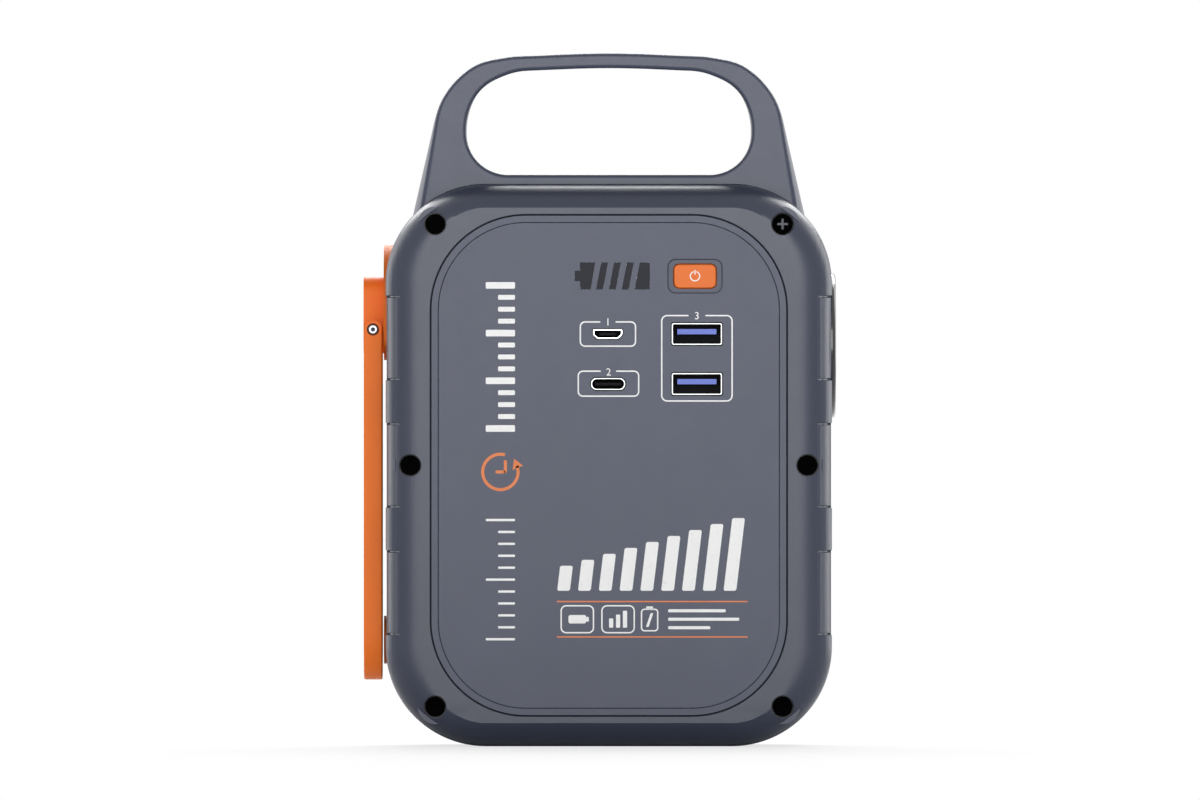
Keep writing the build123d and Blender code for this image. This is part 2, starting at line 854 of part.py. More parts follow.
# ---- crank shaft and gears ----
def crank_shaft():
    shaft = rod_x(0, crank_z, shaft_radius, hub_face_x - shaft_socket, plate_inner_x + plate_thickness)
    groove = rod_x(0, crank_z, shaft_radius + past, clip_x, clip_x + clip_thickness)
    core = rod_x(0, crank_z, shaft_radius - clip_groove, clip_x - past, clip_x + clip_thickness + past)
    return shaft - (groove - core)


def shaft_clip():
    ring = rod_x(0, crank_z, shaft_radius + clip_wall, clip_x, clip_x + clip_thickness)
    ring -= rod_x(0, crank_z, shaft_radius - clip_groove, clip_x - past, clip_x + clip_thickness + past)
    return ring - block(clip_x - past, clip_x + clip_thickness + past, -clip_mouth, clip_mouth,
                        crank_z, crank_z + 2 * shaft_radius)


def shaft_bushes():
    floor_x = hub_face_x + hub_thickness + hub_gap
    barrel = rod_x(0, crank_z, shaft_radius + bush_wall, floor_x, bush_seat_end_x)
    flange = rod_x(0, crank_z, shaft_radius + bush_flange_wall, bush_seat_end_x,
                   bush_seat_end_x + bush_flange_thickness)
    inner = rod_x(0, crank_z, shaft_radius + bush_wall, plate_inner_x, plate_inner_x + plate_thickness)
    bore = rod_x(0, crank_z, shaft_radius + shaft_clearance, -body_side, 0)
    return group([joined([barrel, flange]) - bore, inner - bore])


def pitch_radius(module, teeth):
    return module * teeth / 2


def involute(angle):
    return tan(angle) - angle


def gear_outline(module, teeth, phase):
    """Involute spur gear; phase is the direction of the middle of one tooth, in radians from +Y."""
    pitch = pitch_radius(module, teeth)
    base = pitch * cos(pressure_angle)
    tip = pitch + tooth_addendum * module
    root = pitch - tooth_dedendum * module
    start = max(base, root)
    half_tooth = pi / (2 * teeth) - gear_backlash / (4 * pitch)
    flank = []
    for step in range(flank_steps + 1):
        radius = start + (tip - start) * step / flank_steps
        spread = half_tooth + involute(pressure_angle) - involute(acos(min(1.0, base / radius)))
        flank.append((radius, spread))
    if root < start:
        flank.insert(0, (root, flank[0][1]))
    points = []
    for tooth in range(teeth):
        middle = phase + 2 * pi * tooth / teeth
        near = [(radius, middle - spread) for radius, spread in flank]
        far = [(radius, middle + spread) for radius, spread in reversed(flank)]
        points += [(radius * cos(angle), radius * sin(angle)) for radius, angle in near + far]
    return Polygon(*points, align=None)


def meshing_phase(driver_teeth, driver_phase, teeth, direction):
    """Phase that puts a gap of the second gear on a tooth of the first, seen along the centre line."""
    pitch_angle = 2 * pi / driver_teeth
    nearest = driver_phase + round((direction - driver_phase) / pitch_angle) * pitch_angle
    return direction + pi - (nearest - direction) * driver_teeth / teeth + pi / teeth


def gear_layout():
    """Places and phases of the train: crank, gear 1, gear 2 and rotor, each as (y, z)."""
    distance_1 = pitch_radius(stage_1_module, drive_teeth + stage_1_pinion_teeth) + centre_play
    distance_2 = pitch_radius(stage_2_module, stage_1_wheel_teeth + stage_2_pinion_teeth) + centre_play
    distance_3 = pitch_radius(stage_3_module, stage_2_wheel_teeth + rotor_pinion_teeth) + centre_play
    crank = (0.0, crank_z)
    first = (0.0, crank_z - distance_1)
    second = (gear_2_offset_y, first[1] - sqrt(distance_2**2 - gear_2_offset_y**2))
    rotor = (second[0] + rotor_offset_y, second[1] + sqrt(distance_3**2 - rotor_offset_y**2))
    return crank, first, second, rotor


def direction_between(start, end):
    return atan2(end[1] - start[1], end[0] - start[0])


def gear_phases():
    crank, first, second, rotor = gear_layout()
    to_first = direction_between(crank, first)
    pinion_1 = meshing_phase(drive_teeth, 0.0, stage_1_pinion_teeth, to_first)
    to_second = direction_between(first, second)
    pinion_2 = meshing_phase(stage_1_wheel_teeth, 0.0, stage_2_pinion_teeth, to_second)
    to_rotor = direction_between(second, rotor)
    rotor_pinion = meshing_phase(stage_2_wheel_teeth, 0.0, rotor_pinion_teeth, to_rotor)
    return pinion_1, pinion_2, rotor_pinion


def toothed_disc(module, teeth, phase, centre, left_x, right_x):
    return side_slab(Pos(*centre) * gear_outline(module, teeth, phase), left_x, right_x)


def drive_gear():
    centre = gear_layout()[0]
    gear = toothed_disc(stage_1_module, drive_teeth, 0.0, centre, stage_1_x, stage_1_x + drive_gear_width)
    collar = rod_x(*centre, shaft_radius + gear_collar, stage_1_x, stage_2_x)
    return joined([gear, collar]) - rod_x(*centre, shaft_radius, -body_side, 0)


def gear_1():
    centre = gear_layout()[1]
    phase = gear_phases()[0]
    pinion = toothed_disc(stage_1_module, stage_1_pinion_teeth, phase, centre, stage_1_x, stage_2_x)
    wheel = toothed_disc(stage_2_module, stage_1_wheel_teeth, 0.0, centre, stage_2_x, stage_2_x + stage_2_width)
    return joined([pinion, wheel]) - rod_x(*centre, axle_radius + axle_clearance, -body_side, 0)


def gear_2():
    centre = gear_layout()[2]
    phase = gear_phases()[1]
    pinion = toothed_disc(stage_2_module, stage_2_pinion_teeth, phase, centre, stage_2_x, stage_3_x)
    wheel = toothed_disc(stage_3_module, stage_2_wheel_teeth, 0.0, centre, stage_3_x, stage_3_x + stage_3_width)
    return joined([pinion, wheel]) - rod_x(*centre, axle_radius + axle_clearance, -body_side, 0)


def gear_axles():
    end_x = plate_inner_x + plate_thickness
    first, second = gear_layout()[1:3]
    return group([rod_x(*place, axle_radius, plate_outer_x, end_x) for place in (first, second)])


def plate_outline(with_generator):
    height = plate_top_z - plate_bottom_z
    outline = Pos(0, plate_bottom_z + height / 2) * RectangleRounded(2 * plate_half_width, height, plate_corner)
    if with_generator:
        outline += Pos(*gear_layout()[3]) * Circle(generator_radius)
    return outline


def gear_plate(left_x, with_generator):
    """Steel side plate of the gear train, bored for the crank shaft, the axles and the fixing screws."""
    right_x = left_x + plate_thickness
    plate = side_slab(plate_outline(with_generator), left_x, right_x)
    crank, first, second, rotor = gear_layout()
    crank_bore = shaft_radius + (bush_wall if with_generator else clip_wall)
    plate -= rod_x(*crank, crank_bore, left_x - past, right_x + past)
    for place in (first, second):
        plate -= rod_x(*place, axle_radius, left_x - past, right_x + past)
    if with_generator:
        plate -= rod_x(*rotor, rotor_bush_radius, left_x - past, right_x + past)
    for y, z in plate_post_places:
        plate -= rod_x(y, z, plate_screw_radius, left_x - past, right_x + past)
    return plate


def plate_spacers():
    spacers = []
    for y, z in plate_post_places:
        tube = rod_x(y, z, plate_post_radius, plate_outer_x + plate_thickness, plate_inner_x)
        spacers.append(tube - rod_x(y, z, plate_screw_radius, plate_outer_x, plate_inner_x + past))
    return group(spacers)


def plate_screws():
    face_x = plate_inner_x + plate_thickness
    screws = []
    for y, z in plate_post_places:
        shank = rod_x(y, z, plate_screw_radius, plate_outer_x - plate_screw_grip, face_x)
        head = rod_x(y, z, plate_post_radius, face_x, face_x + plate_screw_head)
        recess = rod_x(y, z, plate_screw_radius, face_x + plate_screw_head - plate_screw_recess,
                       face_x + plate_screw_head + past)
        screws.append(joined([shank, head]) - recess)
    return group(screws)


# ---- generator ----
def generator_can():
    rotor = gear_layout()[3]
    can = rod_x(*rotor, generator_radius, can_left_x, can_right_x)
    can -= rod_x(*rotor, generator_radius - can_wall, can_left_x - past, can_right_x - can_end_wall)
    return can - rod_x(*rotor, rotor_bush_radius, can_right_x - can_end_wall - past, can_right_x + past)


def stator_turns():
    """Angle of each stator tooth."""
    return [360 / stator_tooth_count * index for index in range(stator_tooth_count)]


def around_rotor(piece, angle):
    y, z = gear_layout()[3]
    return Pos(0, y, z) * Rot(angle, 0, 0) * piece


def stator_core():
    outer = generator_radius - can_wall
    left = stator_left_x
    right = left + stator_length
    yoke = rod_x(0, 0, outer, left, right) - rod_x(0, 0, outer - stator_yoke_width, left - past, right + past)
    half = stator_tooth_width / 2
    tooth = block(left, right, rotor_radius, outer - stator_yoke_width / 2, -half, half)
    teeth = [around_rotor(tooth, angle) for angle in stator_turns()]
    core = joined([around_rotor(yoke, 0)] + teeth)
    return core - around_rotor(rod_x(0, 0, rotor_radius + rotor_gap, left - past, right + past), 0)


def stator_coils():
    left = stator_left_x
    right = left + stator_length
    half = stator_tooth_width / 2
    outer = generator_radius - can_wall - stator_yoke_width - coil_gap
    inner = outer - coil_height
    coil = block(left - coil_wall, right + coil_wall, inner, outer, -half - coil_wall, half + coil_wall)
    coil -= block(left, right, inner - past, outer + past, -half, half)
    return group([around_rotor(coil, angle) for angle in stator_turns()])


def rotor_shaft():
    rotor = gear_layout()[3]
    return rod_x(*rotor, rotor_shaft_radius, stage_3_x, can_right_x)


def rotor_magnet():
    rotor = gear_layout()[3]
    left = can_left_x + rotor_end_gap
    right = can_right_x - can_end_wall - rotor_end_gap
    magnet = rod_x(*rotor, rotor_radius, left, right)
    return magnet - rod_x(*rotor, rotor_shaft_radius, left - past, right + past)


def rotor_pinion():
    rotor = gear_layout()[3]
    pinion = toothed_disc(stage_3_module, rotor_pinion_teeth, gear_phases()[2], rotor,
                          stage_3_x, stage_3_x + stage_3_width)
    return pinion - rod_x(*rotor, rotor_shaft_radius, -body_side, 0)


def rotor_bushes():
    rotor = gear_layout()[3]
    spans = [(plate_inner_x, can_left_x), (can_right_x - can_end_wall, can_right_x)]
    bore = rod_x(*rotor, rotor_shaft_radius + shaft_clearance, -body_side, 0)
    return group([rod_x(*rotor, rotor_bush_radius, left, right) - bore for left, right in spans])


# ---- main board and button ----
def main_board():
    width = board_right_x - board_left_x
    height = board_top_z - board_bottom_z
    outline = Pos(board_left_x + width / 2, board_bottom_z + height / 2) * RectangleRounded(
        width, height, board_corner
    )
    board = front_slab(outline, board_front_y, board_front_y + board_thickness)
    for x, z in board_screw_places:
        board -= rod_y(x, z, board_screw_radius + screw_clearance,
                       board_front_y - past, board_front_y + board_thickness + past)
    return board


def board_screws():
    back_y = board_front_y + board_thickness
    screws = []
    for x, z in board_screw_places:
        shank = rod_y(x, z, board_screw_radius, back_y - board_screw_length, back_y)
        head = rod_y(x, z, board_screw_head_radius, back_y, back_y + board_screw_head_height)
        screws.append(joined([shank, head]))
    return group(screws)


def board_parts():
    """Coils, capacitors and chips on the rear of the main board."""
    back_y = board_front_y + board_thickness
    low = board_bottom_z + parts_bottom_margin
    pieces = []
    for column in range(parts_in_row):
        x = board_right_x - parts_right_margin + column * parts_pitch
        pieces.append(block(x, x + inductor_size, back_y, back_y + inductor_height, low, low + inductor_size))
        middle = low + inductor_size / 2 + parts_pitch
        pieces.append(rod_y(x + inductor_size / 2, middle, capacitor_radius, back_y, back_y + capacitor_height))
        foot = low + 2 * parts_pitch
        pieces.append(block(x, x + chip_size, back_y, back_y + chip_height, foot, foot + chip_size))
    return group(pieces)


def power_button():
    cap_back_y = body_front + panel_thickness + button_flange_gap
    cap = front_slab(Pos(button_x, button_z) * button_outline(0), body_front - button_proud, cap_back_y)
    rim = cap.faces().sort_by(Axis.Y)[0].edges()
    cap = fillet(rim, button_edge)
    flange_back_y = cap_back_y + button_flange_thickness
    flange = front_slab(Pos(button_x, button_z) * button_outline(button_flange), cap_back_y, flange_back_y)
    stem_end_y = switch_top_y - plunger_gap - button_travel
    stem = rod_y(button_x, button_z, button_stem_radius, flange_back_y, stem_end_y)
    return joined([cap, flange, stem])


def power_switch():
    half = switch_size / 2
    body_y = board_front_y - switch_height
    body = block(button_x - half, button_x + half, body_y, board_front_y, button_z - half, button_z + half)
    return joined([body, rod_y(button_x, button_z, plunger_radius, switch_top_y, body_y)])


# ---- battery ----
def cell_places():
    low = holder_base_z + holder_floor + cell_radius
    return [(y, low + row * cell_pitch) for row in range(cell_rows) for y in (-cell_pitch / 2, cell_pitch / 2)]


def battery_cells():
    half = cell_length / 2
    cells = []
    for y, z in cell_places():
        can = rod_x(y, z, cell_radius, -half, half - cell_nub_height)
        cells.append(joined([can, rod_x(y, z, cell_nub_radius, half - cell_nub_height, half)]))
    return group(cells)


def battery_straps():
    half = cell_length / 2
    ys = sorted({y for y, _ in cell_places()})
    zs = sorted({z for _, z in cell_places()})
    reach = strap_width / 2
    straps = []
    for y in ys:
        for left in (-half - strap_thickness, half):
            straps.append(block(left, left + strap_thickness, y - reach, y + reach,
                                zs[0] - reach, zs[-1] + reach))
    return group(straps)


def battery_holder():
    half = cell_length / 2 + strap_thickness
    depth_half = cell_pitch
    base = holder_base_z
    tray = block(-half - holder_wall, half + holder_wall, -depth_half, depth_half, base, base + holder_height)
    tray -= block(-half, half, -depth_half - past, depth_half + past,
                  base + holder_floor, base + holder_height + past)
    cradle = block(-half, half, -depth_half, depth_half, base + holder_floor,
                   base + holder_floor + cradle_height)
    for y, z in cell_places()[:2]:
        cradle -= rod_x(y, z, cell_radius, -half - past, half + past)
    return joined([tray, cradle])


# ---- lamp ----
def lamp_bezel():
    flange = rod_x(0, lamp_z, lamp_radius, lamp_seat_x, lamp_face_x)
    rim = flange.faces().sort_by(Axis.X)[-1].edges()
    flange = fillet(rim, lamp_edge)
    tube = rod_x(0, lamp_z, lamp_tube_radius, lamp_tube_end_x, lamp_seat_x)
    bezel = joined([flange, tube])
    bezel -= rod_x(0, lamp_z, lamp_tube_radius - lamp_tube_wall, lamp_tube_end_x - past, lamp_face_x + past)
    return bezel - rod_x(0, lamp_z, lens_radius, lens_back_x, lamp_face_x + past)


def lamp_lens():
    return rod_x(0, lamp_z, lens_radius, lens_back_x, lens_back_x + lens_thickness)


def reflector_profile(thickness):
    """Cup drawn in X (across) and radius, from the throat to the rim behind the lens."""
    rim_x = lens_back_x
    throat_x = rim_x - reflector_depth
    bend = (rim_x - reflector_bend_depth, reflector_bend_radius)
    rim = (rim_x, reflector_rim_radius - thickness)
    throat = (throat_x, reflector_throat_radius - thickness)
    return throat, (bend[0], bend[1] - thickness), rim


def lamp_reflector():
    throat_out, bend_out, rim_out = reflector_profile(0)
    throat_in, bend_in, rim_in = reflector_profile(reflector_wall)
    outer = ThreePointArc(throat_out, bend_out, rim_out)
    inner = ThreePointArc(rim_in, bend_in, throat_in)
    section = make_face([outer, Line(rim_out, rim_in), inner, Line(throat_in, throat_out)])
    cup = revolve(Plane.XY * section, Axis.X)
    return Pos(0, 0, lamp_z) * cup


def lamp_board():
    right = lamp_board_right_x
    return rod_x(0, lamp_z, lamp_board_radius, right - lamp_board_thickness, right)


def lamp_chip():
    half = lamp_chip_size / 2
    right = lamp_board_right_x
    return block(right, right + lamp_chip_height, -half, half, lamp_z - half, lamp_z + half)


def build_nodes():
    """Every piece by its node name."""
    outer = body_form(0)
    recess = recess_cut()
    front_room = cavity(body_front + front_wall)
    usb_a = [port_shell(usb_a_outline, place) for place in usb_a_places]
    usb_a_blades = [
        port_tongue(usb_a_outline, place, usb_a_tongue_width, usb_a_tongue_height, usb_a_tongue_rise)
        for place in usb_a_places
    ]
    return {
        "front_shell": front_shell(outer, recess, front_room),
        "rear_shell": rear_shell(outer, recess, front_room),
        "case_seal": case_seal(),
        "case_screws": group([screw_down_y(x, z) for x, z in case_screw_places]),
        "front_panel": front_panel(),
        "carry_handle": carry_handle(),
        "handle_screws": group([handle_screw(x, y) for x, y in handle_screw_spots()]),
        "level_windows": level_windows(),
        "light_guide": light_guide(),
        "level_lights": level_lights(),
        "usb_a_shells": group(usb_a),
        "usb_a_tongues": group(usb_a_blades),
        "usb_c_shell": port_shell(usb_c_outline, usb_c_place),
        "usb_c_tongue": port_tongue(usb_c_outline, usb_c_place, usb_c_tongue_width, usb_c_tongue_height, 0),
        "micro_b_shell": port_shell(micro_b_outline, micro_b_place),
        "micro_b_tongue": port_tongue(micro_b_outline, micro_b_place, micro_b_tongue_width,
                                      micro_b_tongue_height, 0),
        "power_button": power_button(),
        "power_switch": power_switch(),
        "main_board": main_board(),
        "board_screws": board_screws(),
        "board_parts": board_parts(),
        "battery_cells": battery_cells(),
        "battery_straps": battery_straps(),
        "battery_holder": battery_holder(),
        "catch_boss": catch_boss(),
        "catch_magnet": catch_magnet(),
        "crank_hub": crank_hub(),
        "crank_shaft": crank_shaft(),
        "shaft_clip": shaft_clip(),
        "shaft_bushes": shaft_bushes(),
        "drive_gear": drive_gear(),
        "gear_1": gear_1(),
        "gear_2": gear_2(),
        "gear_axles": gear_axles(),
        "gear_plate_outer": gear_plate(plate_outer_x, False),
        "gear_plate_inner": gear_plate(plate_inner_x, True),
        "plate_spacers": plate_spacers(),
        "plate_screws": plate_screws(),
        "arm_pin": arm_pin(),
        "crank_arm": crank_arm(),
        "arm_keeper": keeper_block(),
        "crank_grip": crank_grip(),
        "generator_can": generator_can(),
        "stator_core": stator_core(),
        "stator_coils": stator_coils(),
        "rotor_shaft": rotor_shaft(),
        "rotor_magnet": rotor_magnet(),
        "rotor_pinion": rotor_pinion(),
        "rotor_bushes": rotor_bushes(),
        "lamp_bezel": lamp_bezel(),
        "lamp_lens": lamp_lens(),
        "lamp_reflector": lamp_reflector(),
        "lamp_board": lamp_board(),
        "lamp_chip": lamp_chip(),
    }


os.makedirs("parts", exist_ok=True)
for name, shape in build_nodes().items():
    export_step(shape, os.path.join("parts", name + ".step"))
    print(name, len(shape.solids()), round(shape.volume, 1))
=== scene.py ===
"""Looks of a hand crank phone charger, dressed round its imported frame.

The lengths in the classes are millimetres. Every mesh is turned into metres as it is finished.
"""
import json
import logging
import math
from dataclasses import dataclass, field
from enum import Enum
from typing import Callable, Sequence

import bmesh
import bpy
from mathutils import Matrix, Vector


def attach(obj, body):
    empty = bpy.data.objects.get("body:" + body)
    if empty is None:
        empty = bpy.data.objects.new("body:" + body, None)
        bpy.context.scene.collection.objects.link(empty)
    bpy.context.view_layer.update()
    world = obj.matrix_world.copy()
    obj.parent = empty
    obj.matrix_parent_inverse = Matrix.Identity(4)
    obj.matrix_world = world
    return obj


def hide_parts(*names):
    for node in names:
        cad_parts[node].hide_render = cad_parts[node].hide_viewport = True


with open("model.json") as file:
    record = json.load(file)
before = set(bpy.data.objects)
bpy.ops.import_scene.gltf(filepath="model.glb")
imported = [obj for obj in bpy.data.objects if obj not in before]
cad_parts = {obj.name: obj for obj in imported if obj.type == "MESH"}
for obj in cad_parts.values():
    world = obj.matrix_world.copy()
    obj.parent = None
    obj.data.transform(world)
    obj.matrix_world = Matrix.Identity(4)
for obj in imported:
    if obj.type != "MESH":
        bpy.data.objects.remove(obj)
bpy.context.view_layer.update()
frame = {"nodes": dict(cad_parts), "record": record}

MM = 0.001
log = logging.getLogger("charger")

Colour = tuple[float, float, float]


# ---------------------------------------------------------------- shader groups
class Sheet:
    """A node tree being filled, with short ways to add and join nodes."""

    def __init__(self, tree: bpy.types.NodeTree) -> None:
        """Starts on an empty tree.

        Args:
            tree: The node tree to fill.
        """
        self.tree = tree

    def node(self, kind: str, **settings: object) -> bpy.types.Node:
        """Adds a node.

        Args:
            kind: Blender's name of the node type, without its ShaderNode prefix.
            settings: Properties of the node to set.

        Returns:
            The new node.
        """
        made = self.tree.nodes.new(kind if kind.startswith("Node") else "ShaderNode" + kind)
        for name, value in settings.items():
            setattr(made, name, value)
        return made

    def join(self, source: bpy.types.NodeSocket, target: bpy.types.NodeSocket) -> None:
        """Links two sockets."""
        self.tree.links.new(source, target)

    def math(self, operation: str, first: object, second: object = 0.0,
             clamp: bool = False) -> bpy.types.NodeSocket:
        """Adds a sum, product or the like of two values that change over the surface.

        Args:
            operation: The Math node's operation.
            first: A socket or a number.
            second: A socket or a number.
            clamp: Whether the result stays between 0 and 1.

        Returns:
            The result's socket.
        """
        made = self.node("Math", operation=operation, use_clamp=clamp)
        for index, value in enumerate((first, second)):
            if isinstance(value, bpy.types.NodeSocket):
                self.join(value, made.inputs[index])
            else:
                made.inputs[index].default_value = value
        return made.outputs[0]

    def blend(self, factor: bpy.types.NodeSocket, low: object, high: object) -> bpy.types.NodeSocket:
        """Mixes two colours by a mask.

        Args:
            factor: The mask.
            low: Colour or socket where the mask is 0.
            high: Colour or socket where the mask is 1.

        Returns:
            The mixed colour's socket.
        """
        made = self.node("Mix", data_type="RGBA")
        self.join(factor, made.inputs[0])
        for socket, value in ((made.inputs[6], low), (made.inputs[7], high)):
            if isinstance(value, bpy.types.NodeSocket):
                self.join(value, socket)
            else:
                socket.default_value = (*value, 1.0)
        return made.outputs[2]

    def span(self, value: bpy.types.NodeSocket, low: float, high: float, start: float = 0.0,
             end: float = 1.0) -> bpy.types.NodeSocket:
        """Stretches a value from one range to another.

        Args:
            value: The socket to stretch.
            low: Result at start.
            high: Result at end.
            start: Lower end of the value's range.
            end: Upper end of the value's range.

        Returns:
            The stretched value's socket.
        """
        made = self.node("MapRange")
        made.clamp = True
        self.join(value, made.inputs[0])
        for index, number in enumerate((start, end, low, high), start=1):
            made.inputs[index].default_value = number
        return made.outputs[0]


class Effect(Enum):
    """The shared surface effects."""

    GRAIN = "mould_grain"
    WEAR = "edge_wear"
    DUST = "resting_dust"
    BRUSH = "brush_lines"


class EffectShelf:
    """Builds each shared node group once and hands it out."""

    def __init__(self) -> None:
        """Starts with no group built."""
        self.built: dict[Effect, bpy.types.NodeTree] = {}

    def get(self, effect: Effect) -> bpy.types.NodeTree:
        """Gives the group of an effect.

        Args:
            effect: Which effect.

        Returns:
            Its node group, built on the first call.
        """
        if effect not in self.built:
            makers: dict[Effect, Callable[[], bpy.types.NodeTree]] = {
                Effect.GRAIN: self._grain,
                Effect.WEAR: self._wear,
                Effect.DUST: self._dust,
                Effect.BRUSH: self._brush,
            }
            self.built[effect] = makers[effect]()
        return self.built[effect]

    @staticmethod
    def _start(effect: Effect, inputs: Sequence[tuple[str, float]], outputs: Sequence[str]) -> tuple:
        """Makes an empty group with its sockets.

        Args:
            effect: The effect that names the group.
            inputs: Name and default value of each input.
            outputs: Name of each output.

        Returns:
            The sheet, the input node and the output node.
        """
        tree = bpy.data.node_groups.new(effect.value, "ShaderNodeTree")
        for name, value in inputs:
            socket = tree.interface.new_socket(name=name, in_out="INPUT", socket_type="NodeSocketFloat")
            socket.default_value = value
        for name in outputs:
            tree.interface.new_socket(name=name, in_out="OUTPUT", socket_type="NodeSocketFloat")
        sheet = Sheet(tree)
        return sheet, sheet.node("NodeGroupInput"), sheet.node("NodeGroupOutput")

    def _grain(self) -> bpy.types.NodeTree:
        """Spark-eroded texture of moulded plastic: fine height, slow mottle and a gloss change.

        Returns:
            The node group.
        """
        sheet, given, put = self._start(Effect.GRAIN, [("Scale", 3200.0), ("Mottle Scale", 60.0)],
                                        ["Height", "Mottle", "Gloss"])
        place = sheet.node("TexCoord")
        fine = sheet.node("TexNoise")
        fine.inputs["Detail"].default_value = 3.0
        fine.inputs["Roughness"].default_value = 0.62
        sheet.join(place.outputs["Object"], fine.inputs["Vector"])
        sheet.join(given.outputs["Scale"], fine.inputs["Scale"])
        pits = sheet.node("TexVoronoi")
        sheet.join(place.outputs["Object"], pits.inputs["Vector"])
        sheet.join(given.outputs["Scale"], pits.inputs["Scale"])
        height = sheet.math("ADD", sheet.math("MULTIPLY", fine.outputs["Fac"], 0.7),
                            sheet.math("MULTIPLY", pits.outputs["Distance"], 0.3))
        sheet.join(height, put.inputs["Height"])
        slow = sheet.node("TexNoise")
        slow.inputs["Detail"].default_value = 4.0
        sheet.join(place.outputs["Object"], slow.inputs["Vector"])
        sheet.join(given.outputs["Mottle Scale"], slow.inputs["Scale"])
        sheet.join(slow.outputs["Fac"], put.inputs["Mottle"])
        rubbed = sheet.node("TexNoise")
        rubbed.inputs["Detail"].default_value = 5.0
        rubbed.inputs["Distortion"].default_value = 0.6
        rubbed.inputs["Scale"].default_value = 210.0
        sheet.join(place.outputs["Object"], rubbed.inputs["Vector"])
        sheet.join(rubbed.outputs["Fac"], put.inputs["Gloss"])
        return sheet.tree

    def _wear(self) -> bpy.types.NodeTree:
        """Mask that is 1 along sharp outer edges, broken up by noise.

        Returns:
            The node group.
        """
        sheet, given, put = self._start(Effect.WEAR, [("Width", 0.0005), ("Breakup", 900.0)], ["Mask"])
        soft = sheet.node("Bevel", samples=6)
        sheet.join(given.outputs["Width"], soft.inputs["Radius"])
        true = sheet.node("NewGeometry")
        dot = sheet.node("VectorMath", operation="DOT_PRODUCT")
        sheet.join(soft.outputs["Normal"], dot.inputs[0])
        sheet.join(true.outputs["Normal"], dot.inputs[1])
        edge = sheet.math("SUBTRACT", 1.0, dot.outputs["Value"], clamp=True)
        place = sheet.node("TexCoord")
        noise = sheet.node("TexNoise")
        noise.inputs["Detail"].default_value = 5.0
        sheet.join(place.outputs["Object"], noise.inputs["Vector"])
        sheet.join(given.outputs["Breakup"], noise.inputs["Scale"])
        broken = sheet.span(noise.outputs["Fac"], 0.0, 1.0, 0.42, 0.66)
        mask = sheet.math("MULTIPLY", sheet.span(edge, 0.0, 1.0, 0.03, 0.2), broken, clamp=True)
        sheet.join(mask, put.inputs["Mask"])
        return sheet.tree

    def _dust(self) -> bpy.types.NodeTree:
        """Mask of the dust that rests on faces that look upwards.

        Returns:
            The node group.
        """
        sheet, given, put = self._start(Effect.DUST, [("Amount", 0.3)], ["Mask"])
        true = sheet.node("NewGeometry")
        parts = sheet.node("SeparateXYZ")
        sheet.join(true.outputs["Normal"], parts.inputs[0])
        upward = sheet.span(parts.outputs["Z"], 0.0, 1.0, 0.6, 1.0)
        place = sheet.node("TexCoord")
        noise = sheet.node("TexNoise")
        noise.inputs["Scale"].default_value = 1400.0
        noise.inputs["Detail"].default_value = 3.0
        sheet.join(place.outputs["Object"], noise.inputs["Vector"])
        specks = sheet.span(noise.outputs["Fac"], 0.0, 1.0, 0.5, 0.75)
        settled = sheet.math("MULTIPLY", upward, specks)
        mask = sheet.math("MULTIPLY", settled, given.outputs["Amount"], clamp=True)
        sheet.join(mask, put.inputs["Mask"])
        return sheet.tree

    def _brush(self) -> bpy.types.NodeTree:
        """Fine parallel lines of drawn or turned metal.

        Returns:
            The node group.
        """
        sheet, given, put = self._start(Effect.BRUSH, [("Scale", 900.0)], ["Height", "Gloss"])
        place = sheet.node("TexCoord")
        stretch = sheet.node("Mapping")
        stretch.inputs["Scale"].default_value = (1.0, 0.06, 0.06)
        sheet.join(place.outputs["Object"], stretch.inputs["Vector"])
        lines = sheet.node("TexNoise")
        lines.inputs["Detail"].default_value = 4.0
        sheet.join(stretch.outputs["Vector"], lines.inputs["Vector"])
        sheet.join(sheet.math("MULTIPLY", given.outputs["Scale"], 6.0), lines.inputs["Scale"])
        sheet.join(lines.outputs["Fac"], put.inputs["Height"])
        blotch = sheet.node("TexNoise")
        blotch.inputs["Scale"].default_value = 300.0
        sheet.join(place.outputs["Object"], blotch.inputs["Vector"])
        sheet.join(blotch.outputs["Fac"], put.inputs["Gloss"])
        return sheet.tree


SHELF = EffectShelf()


